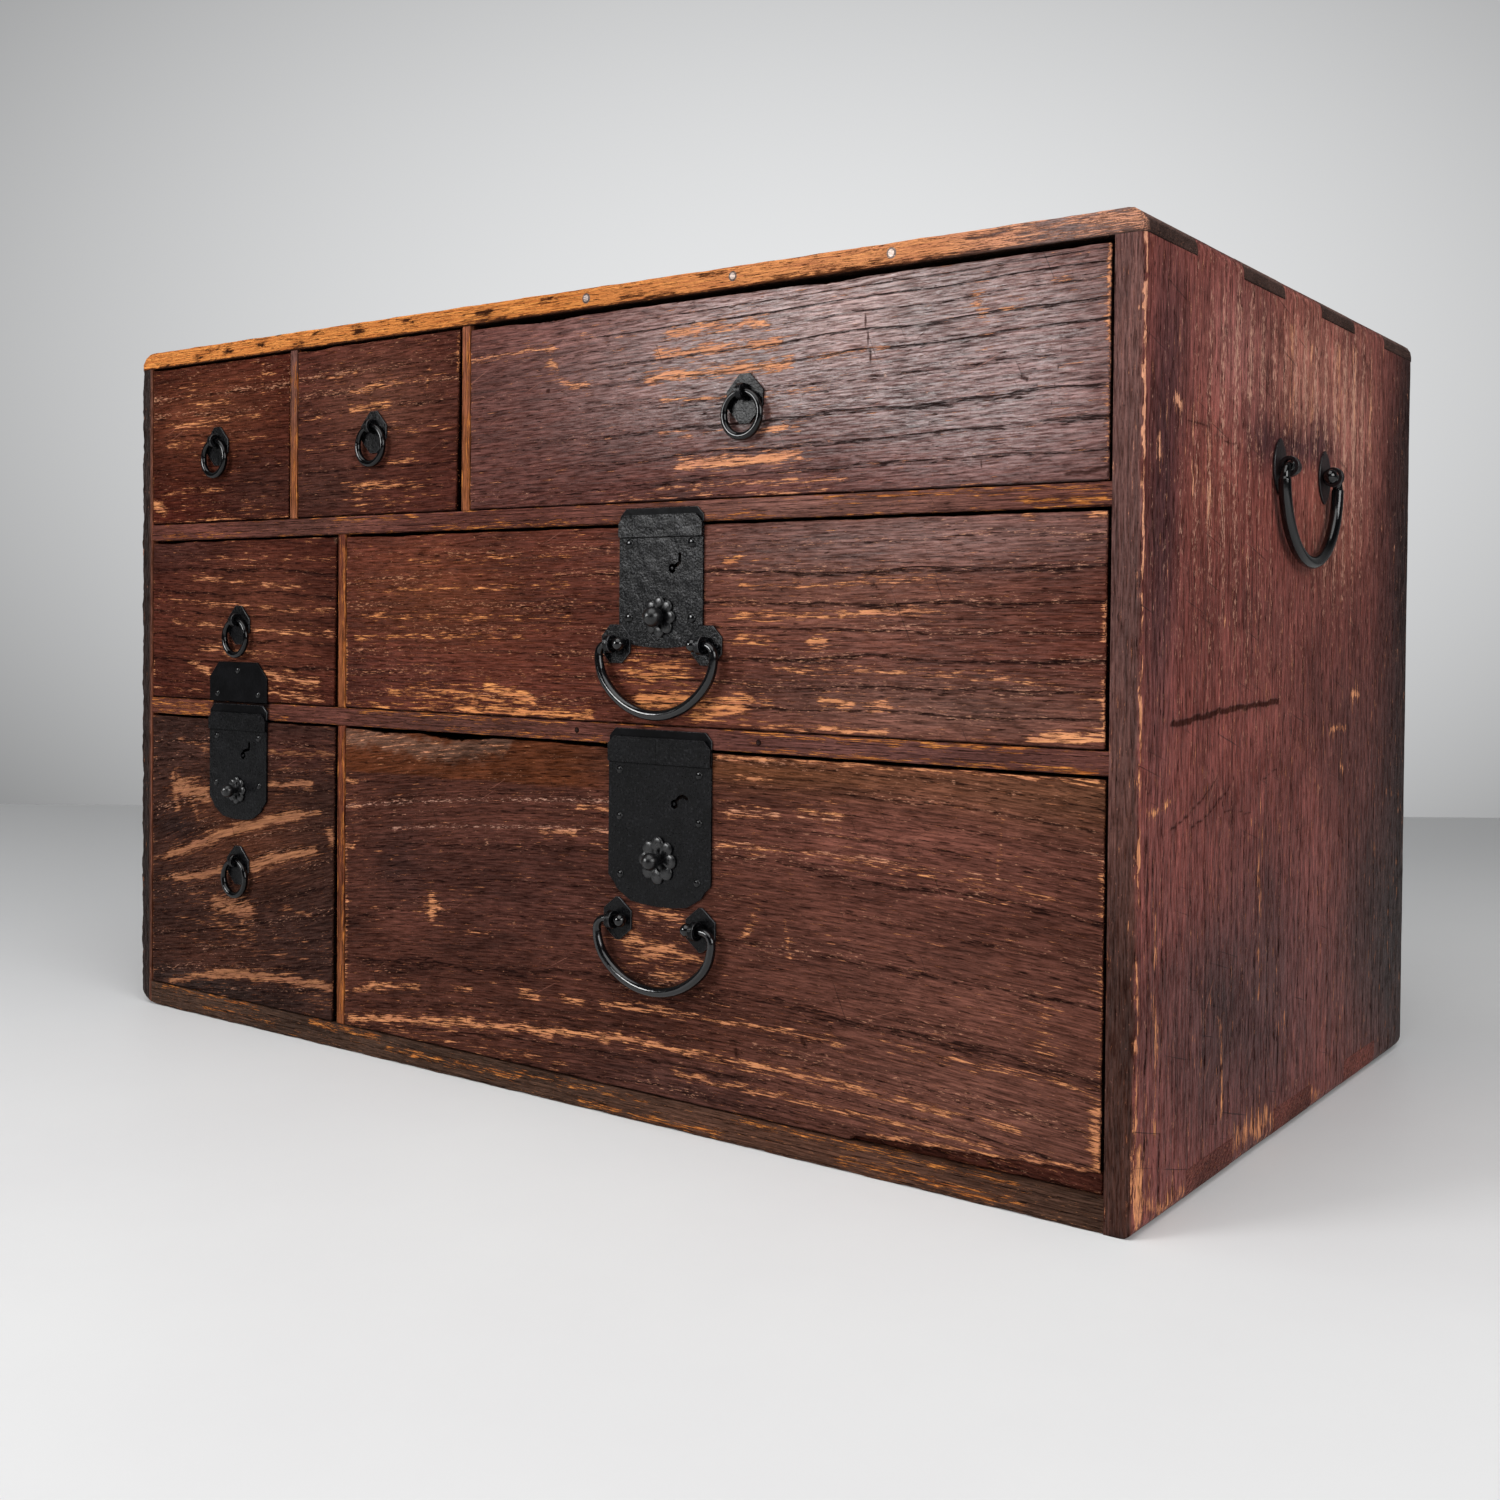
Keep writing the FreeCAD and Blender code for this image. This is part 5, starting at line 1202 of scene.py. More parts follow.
TOP_DARK = [(0.8, 1.0, (52, 6), (55, 6.4)), (0.9, 1.0, (77, 4.6), (82, 5)),
            (0.9, 1.0, (106, 4), (110, 4.4)), (1.2, 1.0, (183, 4), (189, 4.4)),
            (1.0, 1.0, (271, 4), (280, 4.6)), (0.6, 0.7, (262, 7), (290, 8)),
            (0.6, 0.7, (360, 7), (392, 7.6)), (0.5, 0.7, (532, 3), (552, 2.4)),
            (0.7, 0.6, (566, 4), (592, 5)), (0.6, 0.7, (440, 7.4), (500, 7.6)),
            (0.8, 0.8, (20, 8), (26, 8)), (0.7, 0.8, (312, 2), (322, 2.2)),
            (0.8, 0.8, (136, 7), (142, 7)), (0.7, 0.8, (220, 3), (226, 3.6)),
            (0.7, 0.7, (404, 2), (418, 2)), (0.5, 0.7, (512, 7.6), (546, 8)),
            (0.7, 0.8, (150, 2.6), (156, 2.6)), (0.6, 0.7, (60, 3), (70, 3))]
FOOT_MARKS = [(1.0, 0.6, (60, 358), (120, 358)), (1.2, 0.66, (210, 357), (300, 357.4)),
              (1.0, 0.62, (300, 354), (380, 354)), (1.4, 0.66, (480, 359), (560, 360)),
              (1.4, 0.72, (150, 353), (205, 353.5)), (1.2, 0.6, (20, 352), (110, 352)),
              (1.6, 0.6, (340, 361), (420, 361)), (1.2, 0.6, (430, 352.4), (560, 352.6))]


def outer_paint(points, colour, seed, upright, tints=(), marks=(), dark=(), fleck=0.35, gloss=0.15,
                wear=0.0, lines=0.45, pale_and_sheen=0.0, scuffed=0.0):
    """Paint of an outer board, its grain upright or lying; the marks lie on its shown
    face, by x on a lying board and by depth s on an upright one."""
    x, y, s = maker_xys(points)
    if upright:
        u, v, on_face = s, y, clamp(1 - (RIGHT - LEFT - x - 0.8) / 2)
        figure, growth = 0.12 + 0.32 * clamp((y - 150) / 120), s / 13.5
        grain = np.stack([y + 800.0 * seed, s * 0.62, x], axis=1)
        under = 0.0
    else:
        u, v, on_face = x, np.where(s > 1.5, 4.0, y), clamp(1 - (s - 1.5) / 2.0)
        figure, growth = lines, (y + s) / 4.0
        grain = np.stack([x + 800.0 * seed, y + s, y], axis=1)
        under = clamp((y - (TOP - BOARD_UNDER) + 0.7) / 0.6) * (y < 60)     # painted shade: the top board's underside, darkened as the gap under it is shaded
    cut = streaks(u, v, dark) * on_face
    worn = np.maximum(streaks(u, v, marks), wear) * on_face * (1 - 0.8 * cut) * (1 - under)
    shade = clamp((1 - 0.35 * cut) * (1 - 0.85 * under))
    stain = stained(len(x), colour, [(tint, 0.85 * patch(u, v, *oval)) for tint, *oval in tints])
    return wood_paint(grain, stain * shade[:, None], worn, fleck, growth, figure, gloss, pale_and_sheen,
                      scuffed, cut)


def worn_corner(x, y, s, seed):
    """Wear along the upright front arris of the side boards, where most hands pass."""
    wander = ripple(y, seed, 24)
    near = clamp(1 - np.abs(s - 1.5 - 0.5 * ripple(y, seed + 2, 33)) / (1.1 + 0.6 * wander))
    beside = clamp(1 - np.minimum(x, RIGHT - LEFT - x) / 5.0)
    fading = clamp((345 - y) / 20)
    above = 0.25 * clamp((130 - y) / 40) - 0.12 * clamp((y - 180) / 60)
    return clamp((0.70 + above + 0.28 * ripple(y, seed + 1, 51)) * near ** 0.7 * beside * 1.35) * fading


def end_grain(points, paint, lying, share):
    """Where a board is seen at its end it is darker, for end grain drinks stain: at both
    ends of the lying top board, and above and below on an upright side board."""
    x, y, s = maker_xys(points)
    from_end = np.minimum(x, RIGHT - LEFT - x)
    above, below = clamp((y - 1.2) / 2.5), clamp((TOP - FOOT - y) / 2.0)
    if lying:
        seen = share * above * (from_end < 8) * (s > 2.5)
    else:
        seen = share * np.maximum(1 - above, 1 - below) * (from_end < 9.6)
    paint["stain"] = paint["stain"] * (1 - seen[:, None])
    paint["worn"] = paint["worn"] * (1 - seen)
    paint["fleck"] = paint["fleck"] * (1 - seen)
    return paint


def put_board(name, skin, paint):
    """An outer board of the case takes the place of its solid."""
    make_piece(name + "_wood", skin, stained_kiri, "carcass", [name], paint)
    print(name, len(skin[1]), "faces")


skin = flat_board("top_board", "top", 0, TOP_ROUND, 40)
x = skin[0][:, 0] - LEFT
pale = 0.26 * clamp((x - 330) / 200) + 0.40 * clamp((x - 520) / 45)
paint = outer_paint(skin[0], "66391f", 41, False, (("8a7571", 576, 4, 44, 9),), TOP_MARKS, TOP_DARK,
                    fleck=0.4, wear=0.98 - 0.42 * clamp((x - 535) / 30), lines=0.1, pale_and_sheen=pale)
paint["grain"] = paint["grain"] * (1.6, 1.5, 1.5)
put_board("top_board", skin, end_grain(skin[0], paint, True, 0.72))

skin = flat_board("bottom_board", "foot", 1, FOOT_ROUND, 44)
tints = (("54372b", 470, 357, 120, 9), ("70403a", 0, 4, 14, 20), ("70403a", RIGHT - LEFT, 4, 14, 20))
paint = outer_paint(skin[0], "443127", 45, False, tints, FOOT_MARKS, fleck=0.5)
put_board("bottom_board", skin, paint)

# where the right side is rubbed down to its fibres: how much, middle s, y, half widths
SIDE_RUBBED = ((1.0, 172, 40, 48, 36), (1.15, 236, 56, 34, 60), (0.9, 90, 36, 40, 36),
               (0.6, 205, 118, 34, 26), (0.7, 70, 100, 44, 40), (0.4, 110, 160, 70, 50))
for name, face, colour in (("right_side", "right", "783f38"), ("left_side", "left", "5c302b")):
    skin = side_board(name, face, 50)
    x, y, s = maker_xys(skin[0])
    seen = face == "right"
    rubbed = sum(amount * patch(s, y, *oval) for amount, *oval in SIDE_RUBBED)
    arris = worn_corner(x, y, s, 55)
    paint = outer_paint(skin[0], colour, 52, True, SIDE_TINTS, SIDE_MARKS if seen else (),
                        SIDE_DARK if seen else (), fleck=(0.40 + 0.80 * rubbed) * clamp(s / 3 - 0.3),
                        gloss=0.34, pale_and_sheen=0.35 + 0.25 * clamp(1 - (y - 110) / 90),
                        scuffed=0.45 - 0.35 * clamp((s - 200) / 100))
    if seen:                               # the front edge: redder above, darker below
        strip = stained(len(x), "5c3d38", [("3e241c", (y - 120) / 160)])
        near_front = clamp(1 - s / 1.2)[:, None]
    else:                                  # the front edge: black with a rubbed inner arris
        strip = stained(len(x), "20130f", [("6e3f2c", (x - 8.2) / 1.0)])
        near_front = clamp(1 - (s - 1.5) / 2.5)[:, None]
    paint["stain"] = paint["stain"] * (1 - near_front) + strip * near_front
    paint["worn"] = np.maximum(paint["worn"], arris)
    put_board(name, skin, end_grain(skin[0], paint, False, 0.7))

# %% Back boards
BACK_BOARDS = 3
low, high = box_mm("back_boards")
rise = (high[2] - low[2]) / BACK_BOARDS
skins = []
for i in range(BACK_BOARDS):
    foot_z = low[2] + i * rise
    us = grid_lines(low[0], high[0], 6.0, (), 0.6, 0.6)
    vs = grid_lines(foot_z + 0.1, foot_z + rise - 0.1, 4.0, (), 1.2, 1.2)
    seam = foot_z + rise - 0.1

    def depth(u, v):
        w = rounding(v - foot_z - 0.1, 1.2) + rounding(seam - v, 1.2)
        return np.minimum(w, 1.5) + 0.2 * (1 + ripples(u, v * 3, 70 + i, 240))

    skins.append(board_skin("back", high[1], us, vs, high[1] - low[1], depth, None, 2))
skin = joined(skins)
x, y, s = maker_xys(skin[0])
stain = stained(len(x), "9a6a48", [("7c5238", patch(x, y, 200, 300, 200, 60))])
paint = wood_paint(np.stack([x + 300, y, s], axis=1), stain, 0.1, 0.5, y / 9.0, 0.5, 0.0)
make_piece("back_boards_wood", skin, stained_kiri, "carcass", ["back_boards"], paint)
print("back of", BACK_BOARDS, "boards")

# %% [markdown]
# ## Bare wood inside
# Nobody stains the inside of a drawer. The boxes and floors keep their solids and get
# plain kiri: pale straw, with darker lines where the pores of each year run.

# %% Bare kiri
bare_kiri, tree, shader = new_material("bare_kiri")
place = add(tree, "TexCoord", out="Object")
in_mm = add(tree, "VectorMath", {0: place, "Scale": 1000.0}, operation="SCALE")
lengthwise = stretched_noise(tree, in_mm, (1 / 3.0, 1 / 60, 1 / 3.0), 4.0, 0.6)
crosswise = stretched_noise(tree, in_mm, (1 / 60, 1 / 3.0, 1 / 3.0), 4.0, 0.6)
facing = add(tree, "SeparateXYZ", {0: add(tree, "TexCoord", out="Normal")}, out="Y")
facing = add(tree, "Math", {0: facing}, operation="ABSOLUTE")
facing = add(tree, "Math", {0: facing, 1: 0.7}, operation="GREATER_THAN")
lines = add(tree, "Mix", {0: facing, 2: lengthwise, 3: crosswise}, out=0)
clouds = stretched_noise(tree, in_mm, (1 / 40, 1 / 90, 1 / 40), 3.0, 0.5)
tone = add(tree, "MapRange", {"Value": lines, "From Min": 0.34, "From Max": 0.66})
pale = add(tree, "Mix", {0: tone, 6: linear("a97f52"), 7: linear("d0ab7c")}, out=2, data_type="RGBA")
aged = add(tree, "MapRange", {"Value": clouds, "From Min": 0.35, "From Max": 0.65, "To Min": 0.0,
                              "To Max": 0.45})
pale = add(tree, "Mix", {0: aged, 6: pale, 7: linear("8f6a45")}, out=2, data_type="RGBA")
tree.links.new(pale, shader.inputs["Base Color"])
shader.inputs["Roughness"].default_value = 0.78
bump = add(tree, "Bump", {"Height": lines, "Distance": 0.0003, "Strength": 0.6})
tree.links.new(bump, shader.inputs["Normal"])
for name in FRONTS:
    for part in ("_box", "_floor"):
        NODES[name + part].data.materials.clear()
        NODES[name + part].data.materials.append(bare_kiri)
print("bare kiri on", 2 * len(FRONTS), "nodes")

# %% [markdown]
# ## Black iron
# The ironwork is thin sheet and bar, heated and rubbed with silk or lacquer until it is
# black. It isn't polished: the hammer leaves shallow dents, the burnt lacquer is a little
# pitted, and edges catch the light. Bare metal shows nowhere, so the recipe is a black
# coat with a soft shine rather than a metal.

# %% The iron coat
def iron(name, smooth, rough, specular, dents, dust=0.25, darkest="040405", palest="0b0b0d"):
    """Black iron: smoothest and roughest coat, its shine, its hammer dents in mm, the
    share of dust in its pits, and two tones."""
    material, tree, shader = new_material(name)
    place = add(tree, "TexCoord", out="Object")
    hammer = add(tree, "TexNoise", {"Vector": place, "Scale": 1 / 0.0055, "Detail": 1.5, "Roughness": 0.5})
    pitted = add(tree, "TexNoise", {"Vector": place, "Scale": 1 / 0.0011, "Detail": 3.0, "Roughness": 0.6})
    dusty = add(tree, "TexNoise", {"Vector": place, "Scale": 1 / 0.014, "Detail": 4.0, "Roughness": 0.6})
    coat = add(tree, "MapRange", {"Value": dusty, "From Min": 0.42, "From Max": 0.66})
    colour = add(tree, "Mix", {0: coat, 6: linear(darkest), 7: linear(palest)}, out=2, data_type="RGBA")
    dusted = add(tree, "MapRange", {"Value": pitted, "From Min": 0.58, "From Max": 0.70, "To Min": 0.0,
                                    "To Max": dust})
    colour = add(tree, "Mix", {0: dusted, 6: colour, 7: linear("505054")}, out=2, data_type="RGBA")
    tree.links.new(colour, shader.inputs["Base Color"])
    matt = add(tree, "MapRange", {"Value": pitted, "From Min": 0.3, "From Max": 0.7, "To Min": smooth,
                                  "To Max": rough})
    tree.links.new(matt, shader.inputs["Roughness"])
    shader.inputs["Specular IOR Level"].default_value = specular
    relief = add(tree, "Math", {0: pitted, 1: 0.5, 2: hammer}, operation="MULTIPLY_ADD")
    bump = add(tree, "Bump", {"Height": relief, "Distance": dents * MM, "Strength": 1.0})
    tree.links.new(bump, shader.inputs["Normal"])
    return material


black_iron = iron("lacquered_black_iron", 0.22, 0.40, 0.12, 0.36, 0.20)
hammered_iron = iron("hammered_black_iron", 0.18, 0.34, 0.20, 0.34, 0.55)
rubbed_iron = iron("rubbed_black_iron", 0.18, 0.32, 0.15, 0.34)
handled_iron = iron("black_iron_smoothed_by_hands", 0.08, 0.17, 0.52, 0.08, 0.0)
ring_iron = iron("black_iron_of_the_rings", 0.07, 0.16, 0.34, 0.08, 0.0, "020203", "060607")
turned_iron = iron("turned_black_iron", 0.25, 0.36, 0.52, 0.04, 0.1)
# paler edges: rubbed iron, and partly a painted highlight along every edge
edge_iron = iron("black_iron_rubbed_and_highlighted_at_its_edges", 0.22, 0.36, 0.55, 0.10, 0.3, "101012", "2a2a2d")
# a duller, darker coat: painted shade on the strikes set back on the rails, also used for the link plates,
# the dark strips under the bands and one seam
shade_and_seam_iron = iron("black_iron_darkened_for_shade_and_seams", 0.30, 0.45, 0.05, 0.20, 0.05)
browned_iron = iron("browned_black_iron", 0.30, 0.45, 0.16, 0.20, 0.3, "1c1516", "2e2323")
print("nine coats of black iron")


# %% Plates: the solids with their edges eased
def eased_copy(node, body, coat, width=0.22, rim=None):
    """A copy of a solid's mesh, made of clean faces again, with small bevels, which may
    have a coat of their own."""
    mesh = NODES[node].data.copy()
    mesh.name = node + "_iron"
    work = bmesh.new()
    work.from_mesh(mesh)
    bmesh.ops.remove_doubles(work, verts=work.verts[:], dist=1e-6)
    bmesh.ops.dissolve_limit(work, angle_limit=math.radians(1.0), verts=work.verts[:], edges=work.edges[:])
    work.to_mesh(mesh)
    work.free()
    mesh.shade_smooth()
    mesh.set_sharp_from_angle(angle=math.radians(48))
    mesh.materials.clear()
    mesh.materials.append(coat)
    piece = bpy.data.objects.new(node + "_iron", mesh)
    bpy.context.scene.collection.objects.link(piece)
    bevel = piece.modifiers.new("eased edges", "BEVEL")
    bevel.width = width * MM
    bevel.segments = 2
    bevel.limit_method = "ANGLE"
    bevel.angle_limit = math.radians(35)
    bevel.harden_normals = False
    if rim:
        mesh.materials.append(rim)
        bevel.material = 1
    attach(piece, body)
    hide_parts(node)
    return piece


plates = 0
for name in FRONTS:
    for part in ("_ring_plate", "_bail_plates", "_lock_plate", "_link_plate", "_strike"):
        if name + part in NODES:
            coat = {"top_right": rubbed_iron, "middle_right": hammered_iron}.get(name, black_iron)
            # the strikes, set back on the rails, take the darker coat as painted shade, and so do the link
            # plates
            coat = shade_and_seam_iron if part in ("_strike", "_link_plate") else coat
            eased_copy(name + part, "carcass" if part == "_strike" else name + "_drawer", coat,
                       0.36 if part == "_lock_plate" else 0.25, edge_iron)
            plates += 1
for name in ("left", "right"):
    eased_copy(name + "_handle_plates", "carcass", browned_iron, 0.30, edge_iron)
    plates += 1
print(plates, "plates eased")

# %% [markdown]
# ## Rings, bails and lock knobs
# Rings and bails are bars bent while hot, so one recipe covers them: circles of points
# set square to a path, as wide as the bar is there. A bail is drawn out thinner towards
# its eyes and ends in a ball. A lock's knob is turned, its washer cut like a flower with
# each petal a little domed, and the bolt behind is a plain strip.

# %% Bars along a path
AROUND = 20


def loft(rings, closed=False):
    """Joins rings of points, shaped (rings, around, 3), in order by four-sided faces."""
    number = np.arange(rings.shape[0] * rings.shape[1]).reshape(rings.shape[:2])
    if closed:
        number = np.vstack([number, number[:1]])
    beside = np.roll(number, -1, axis=1)
    quads = np.stack([number[:-1], number[1:], beside[1:], beside[:-1]], -1).reshape(-1, 4)
    return rings.reshape(-1, 3), quads


def bar(path, radii, flat, out, origin, closed=False):
    """A round bar along a flat path. Path points are (along, up) in mm; ring points are
    path + r (cos f * normal + sin f * out), with the normal square to the path."""
    heading = (np.roll(path, -1, 0) - np.roll(path, 1, 0) if closed
               else np.gradient(path, axis=0))
    heading = heading / np.linalg.norm(heading, axis=1)[:, None]
    turn = np.linspace(0, 2 * math.pi, AROUND, endpoint=False)
    radii = np.broadcast_to(radii, len(path))[:, None]
    along = path[:, :1] - heading[:, 1:] * radii * np.cos(turn)
    up = path[:, 1:] + heading[:, :1] * radii * np.cos(turn)
    outward = radii * np.sin(turn)
    points = (np.array(origin) + along[..., None] * np.array(flat, float)
              + up[..., None] * np.array((0, 0, 1.0)) + outward[..., None] * np.array(out, float))
    return loft(points, closed)


def arc(middle, radius, first, last, count):
    """Points of an arc between two angles in degrees, (along, up)."""
    angle = np.radians(np.linspace(first, last, count))
    return np.stack([middle[0] + radius * np.cos(angle), middle[1] + radius * np.sin(angle)], axis=1)


def turned(middle, profile):
    """A body turned about a line that runs away from the eye: a ring of points for each
    radius r and depth y of the profile, at (r cos f, y, r sin f) from the middle."""
    turn = np.linspace(0, 2 * math.pi, AROUND, endpoint=False)
    radius, y = np.array(profile, float).T[..., None]
    rings = np.stack([radius * np.cos(turn), y + 0 * turn, radius * np.sin(turn)], axis=-1)
    return loft(np.array(middle) + rings)


def ball(middle, radius):
    """A ball of rings at even latitudes a: r sin a wide, at depth -r cos a. Both ends
    stay a tiny ring that gets closed."""
    latitude = np.linspace(0.02, math.pi - 0.02, 13)
    return turned(middle, np.stack([radius * np.sin(latitude), -radius * np.cos(latitude)], axis=1))


for name in FRONTS:
    if name + "_ring" in NODES:
        low, high = box_mm(name + "_ring")
        wire = (high[1] - low[1]) / 2
        radius = (high[0] - low[0]) / 2 - wire
        middle = (low + high) / 2
        path = arc((0, 0), radius, 0, 360, 73)[:-1]
        turn = np.linspace(0, 2 * math.pi, 72, endpoint=False)
        widths = wire * (1.08 - 0.14 * np.sin(turn) + 0.03 * np.cos(turn * 2 + len(name)))
        path = path * (1 - (widths - wire) / radius)[:, None]
        make_piece(name + "_ring_iron", bar(path, widths, (1, 0, 0), (0, -1, 0), middle, True),
                   ring_iron, name + "_ring", [name + "_ring"])
print("ring of", round(2 * radius, 1), "mm and wire of", round(2 * wire, 1), "mm")

# %% Bails
# bar, ball, bend at the eyes, radius of the sides, middle of the ball from the centre line
BAILS = {
    "middle_right_bail": dict(bar=4.7, ball=5.8, turn=4.6, side=20.0, ball_at=20.75),
    "bottom_right_bail": dict(bar=4.7, ball=5.8, turn=4.6, side=18.0, ball_at=18.75),
    "left_handle": dict(bar=5.6, ball=6.6, turn=4.8, side=26.0, ball_at=23.45),
    "right_handle": dict(bar=5.6, ball=6.6, turn=4.8, side=26.0, ball_at=23.45),
}


def bail_path(half, drop, turn, side, ball_at):
    """Straight through the eye, a tight bend, a wide arc down the side and a wider one
    under the middle, whose radius r lets the arcs touch: a^2 + (r - b)^2 = (r - side)^2
    with a, b the middle of the side arc beside the centre and over the lowest point."""
    a, b = half - side, drop - turn
    foot = (a * a + b * b - side ** 2) / (2 * (b - side))
    lean = math.degrees(math.atan2(-turn - (foot - drop), a))
    right = np.concatenate([[(ball_at, 0.0)], arc((half - turn, -turn), turn, 90, 0, 10),
                            arc((a, -turn), side, 0, lean, 22)[1:],
                            arc((0, foot - drop), foot, lean, -90, 20)[1:]])
    return np.concatenate([right, right[-2::-1] * (-1, 1)])


for name, bail in BAILS.items():
    low, high = box_mm(name)
    on_side = "handle" in name
    wide = 1 if on_side else 0
    half = (high[wide] - low[wide] - bail["bar"]) / 2
    drop = high[2] - low[2] - bail["bar"] / 2 - bail["ball"] / 2
    origin = (low + high) / 2
    origin[2] = high[2] - bail["ball"] / 2
    flat, out = ((0, 1, 0), (1, 0, 0)) if on_side else ((1, 0, 0), (0, -1, 0))
    path = bail_path(half, drop, bail["turn"], bail["side"], bail["ball_at"])
    share = np.abs(np.linspace(-1, 1, len(path)))
    widths = bail["bar"] / 2 * (1.0 - 0.34 * share ** 2)
    ends = [ball(origin + np.array(flat) * side * bail["ball_at"], bail["ball"] / 2) for side in (-1, 1)]
    make_piece(name + "_iron", joined([bar(path, widths, flat, out, origin)] + ends), handled_iron,
               name, [name])
print("bail path of", len(path), "points")

# %% Lock sliders
STEM, PETALS = 3.4, 8
WASHER_OUT, WASHER_THICK = 1.3, 1.2          # back of the washer before the wood, thickness
BOLT_HALF, BOLT_SETBACK, BOLT_THICK, BOLT_TAIL = 8.0, 5.0, 3.0, 7.0


def flower(middle, width):
    """A washer with domed petals. The edge is r(f) = c cos f + sqrt(p^2 - c^2 sin^2 f),
    f from the nearest petal's middle, p the petal's radius and c its middle's distance.
    A petal rises by sqrt(1 - d^2 / p^2), d being the distance from its middle."""
    share = math.sin(math.pi / PETALS)
    petal = width / 2 * share / (1 + share) * 1.12
    reach = width / 2 - petal
    turn = np.linspace(0, 2 * math.pi, PETALS * 16, endpoint=False)
    spread = 2 * math.pi / PETALS
    off = (turn + spread / 2) % spread - spread / 2
    edge = reach * np.cos(off) + np.sqrt(np.clip(petal ** 2 - (reach * np.sin(off)) ** 2, 0, None))
    rings = []
    for at in (0.02, 0.2, 0.34, 0.44, 0.52, 0.60, 0.68, 0.76, 0.84, 0.91, 0.96, 1.0):
        square = (edge * at) ** 2 - 2 * edge * at * reach * np.cos(off) + reach ** 2
        dome = np.sqrt(clamp(1 - square / petal ** 2))
        height = WASHER_OUT + WASHER_THICK * (0.45 + 0.65 * dome)
        rings.append(np.stack([edge * at * np.sin(turn), -height, edge * at * np.cos(turn)], axis=1))
    rings.append(rings[-1] * (1, 0, 1) + (0, -WASHER_OUT, 0))
    return loft(np.array(middle) + np.array(rings))


for name in WASHERS:
    low, high = box_mm(name + "_lock_slider")
    middle = np.array([lock_middle(name), FRONT, knob_height(name)])
    knob = KNOBS[name]
    knob_at = middle + (0, low[1] + knob / 2 - FRONT, 0)
    stem = turned(middle, [(STEM / 2, y) for y in (knob_at[1] - FRONT, 0.0, BOLT_SETBACK + 1)])
    bolt = board_skin("front", FRONT + BOLT_SETBACK, np.array([middle[0] - BOLT_HALF, middle[0] + BOLT_HALF]),
                      np.array([middle[2] - BOLT_TAIL, high[2]]), BOLT_THICK, None, None, 1)
    skin = joined([flower(middle, PETALS_WIDE[name]), ball(knob_at, knob / 2), stem, bolt])
    make_piece(name + "_lock_slider_iron", skin, turned_iron, name + "_lock_slider",
               [name + "_lock_slider"])
print("lock sliders:", len(WASHERS))

# %% [markdown]
# ## Pegs, nail heads, seams and painted shade
# Small things that the solids leave out: the domed heads of the nails that hold a lock,
# a dark strip under its folded band as painted shade, a seam on one band, pegs in the
# front edge of the top board, where it was pinned to the uprights, and two nails in the lower rail.

# %% Nail heads, seams and painted shade of the locks
SHEET = 1.0                    # thickness of the plates; a lock's band lies on it as a second one
# nails beside the middle of the lock and above the edge of the board they hang from
NAIL_HEADS = {
    "middle_right_lock_plate": (2.2, "high", ((17.5, -8.2), (17.6, -40.0))),
    "bottom_right_lock_plate": (1.8, "high", ((22.3, -10.2), (22.3, -30.4), (21.6, -55.6))),
    "bottom_left_lock_plate": (1.8, "high", ((18.0, -9.0), (18.6, -34.0))),
    "middle_left_link_plate": (1.75, "low", ((0.0, 16.6), (17.5, 4.0))),
}
# dark strips as boxes beside the middle and under the edge: x0, x1, z0, z1; on each lock the first is painted
# shade under the band, and the second, on the lower right lock, a seam
BAND_SHADES_AND_SEAMS = {
    "middle_right_lock_plate": ((-23.2, 23.2, -5.9, -5.3),),
    "bottom_right_lock_plate": ((-28.6, 28.6, -7.2, -6.6), (-1.2, -0.9, -6.6, 4.0)),
    "bottom_left_lock_plate": ((-24.3, 24.3, -5.9, -5.3),),
}


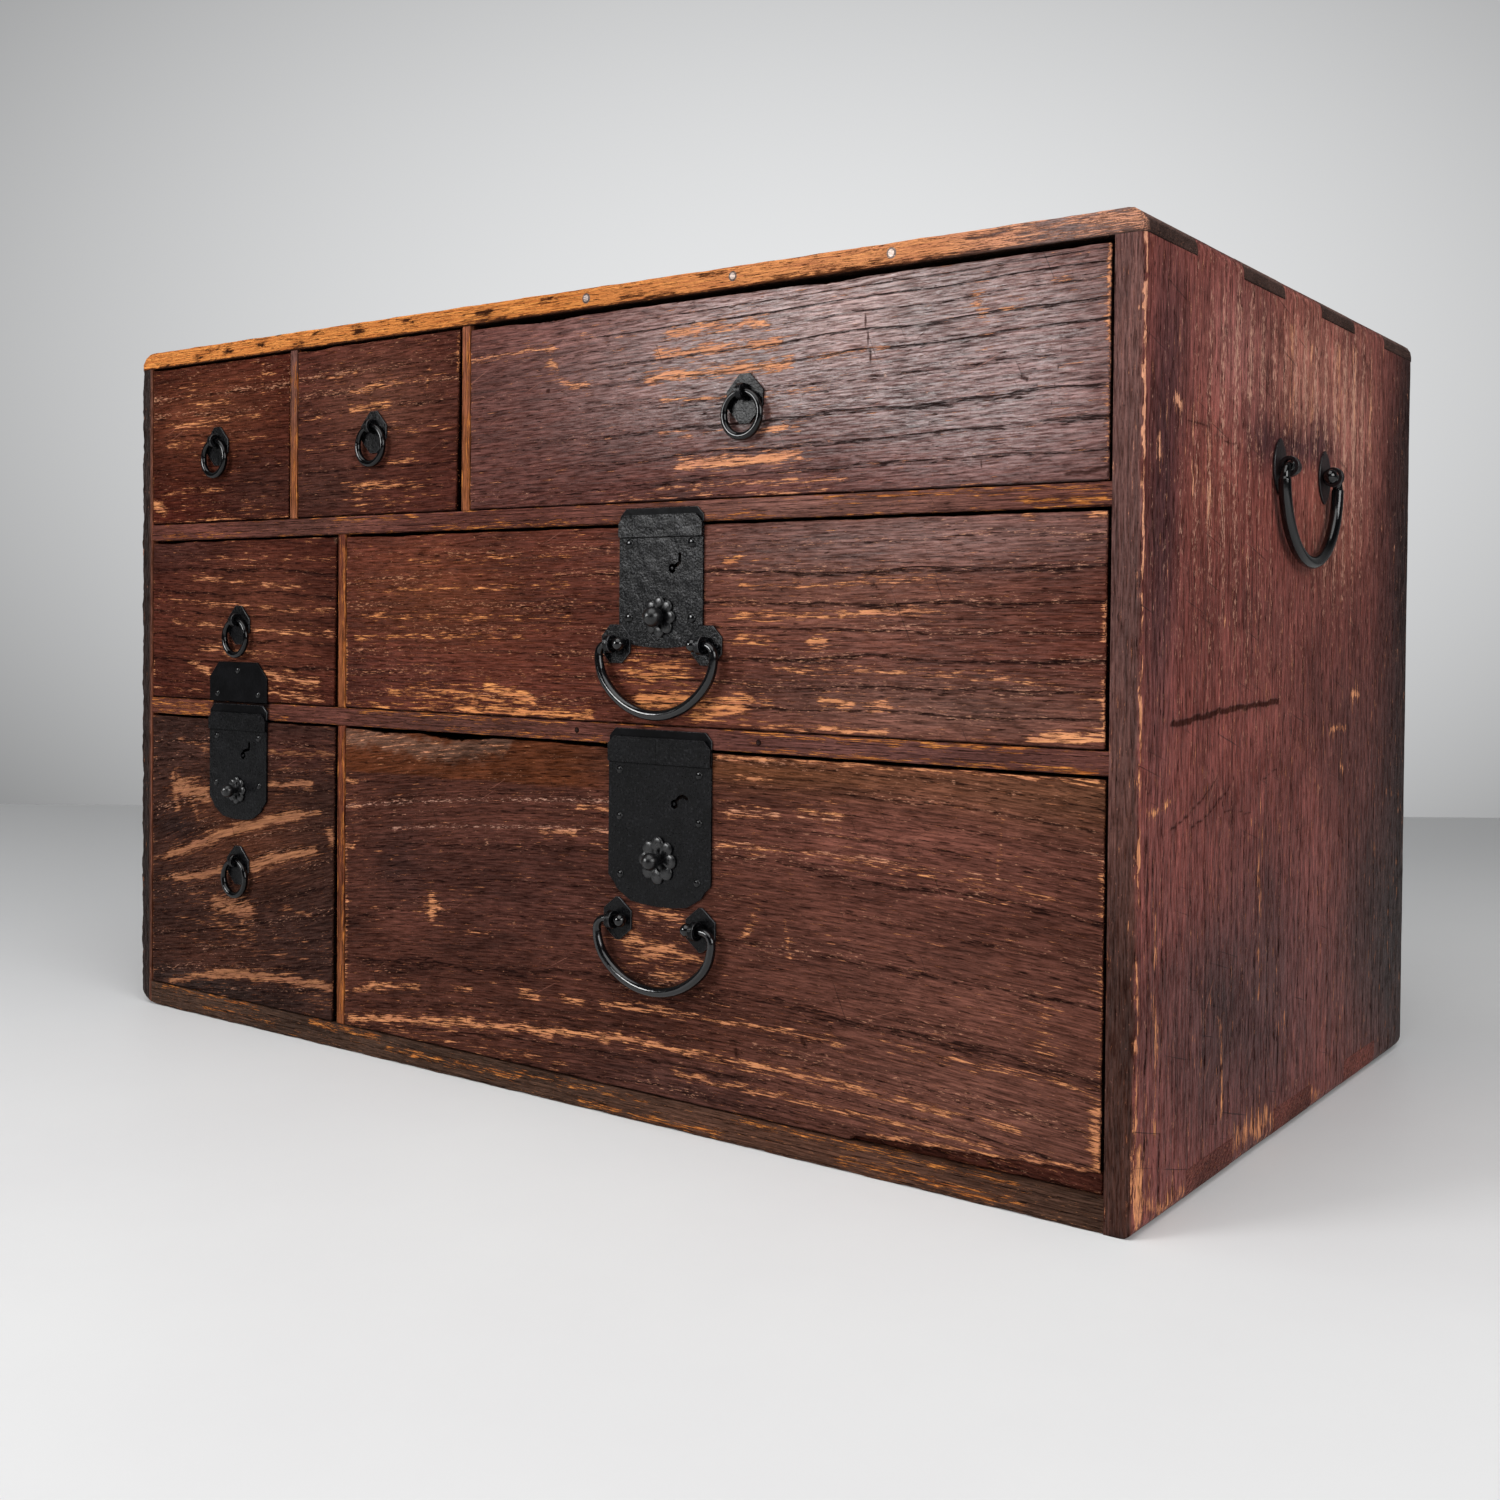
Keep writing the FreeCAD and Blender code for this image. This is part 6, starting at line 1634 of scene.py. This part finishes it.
def nail_head(middle, radius):
    """A low dome: rings of radius r sin a at height r (cos a - 0.5), down into the plate."""
    dome = ((0.04, 0.5), (0.45, 0.46), (0.75, 0.36), (0.93, 0.18), (1.0, 0.0), (1.0, -0.3))
    return turned(middle, [(radius * out, -radius * rise) for out, rise in dome])


for node, (radius, edge, places) in NAIL_HEADS.items():
    owner = node.replace("_lock_plate", "").replace("_link_plate", "")
    low, high = box_mm(owner + "_front")
    face = FRONT - SHEET
    level_z = high[2] if edge == "high" else low[2]
    middle_x = lock_middle("bottom_left" if "link" in node else owner)
    heads = [nail_head((middle_x + side * across, face, level_z + up), radius)
             for across, up in places for side in ((-1, 1) if across else (1,))]
    make_piece(node + "_nail_heads", joined(heads), ring_iron, owner + "_drawer")
    # the dark strips: painted shade under each band, and one seam on the lower right band
    for number, (x0, x1, z0, z1) in enumerate(BAND_SHADES_AND_SEAMS.get(node, ())):
        front = face - (SHEET if number else 0) - 0.03
        skin = board_skin("front", front, np.array([middle_x + x0, middle_x + x1]),
                          np.array([level_z + z0, level_z + z1]), 0.3, None, None, 1)
        make_piece("%s_seam_%d" % (node, number + 1), skin, shade_and_seam_iron, owner + "_drawer")
print(len(NAIL_HEADS), "plates with nail heads")

# %% Pegs
# x from the left, y from the top, diameter, colour
PEGS = ((340, 4.6, 4.6, "b5a49c"), (422.5, 4.2, 4.2, "f0d9cc"), (500.5, 4.2, 4.4, "f0d9cc"),
        (336, 195.4, 2.6, "2a1d1b"), (438, 196, 2.6, "2a1d1b"))
# rings of a peg: share of its radius, height over the board; and how dark each ring is
PEG_PROFILE = ((0.05, 0.25), (0.62, 0.24), (0.70, 0.16), (1.0, 0.04), (1.0, -4.0))
PEG_DARK = (0.0, 0.3, 1.0, 1.0, 1.0)
for i, (x, y, size, colour) in enumerate(PEGS):
    skin = turned((LEFT + x, FRONT, TOP - y), [(size / 2 * at, -out) for at, out in PEG_PROFILE])
    rim = np.repeat(PEG_DARK, AROUND)
    paint = wood_paint(skin[0] * 2, stained(len(rim), colour), 0.0, 0.1, 0.0, 0.0, 0.2, scored=rim)
    make_piece("peg_%d" % (i + 1), skin, stained_kiri, "carcass", (), paint)
print(len(PEGS), "pegs")
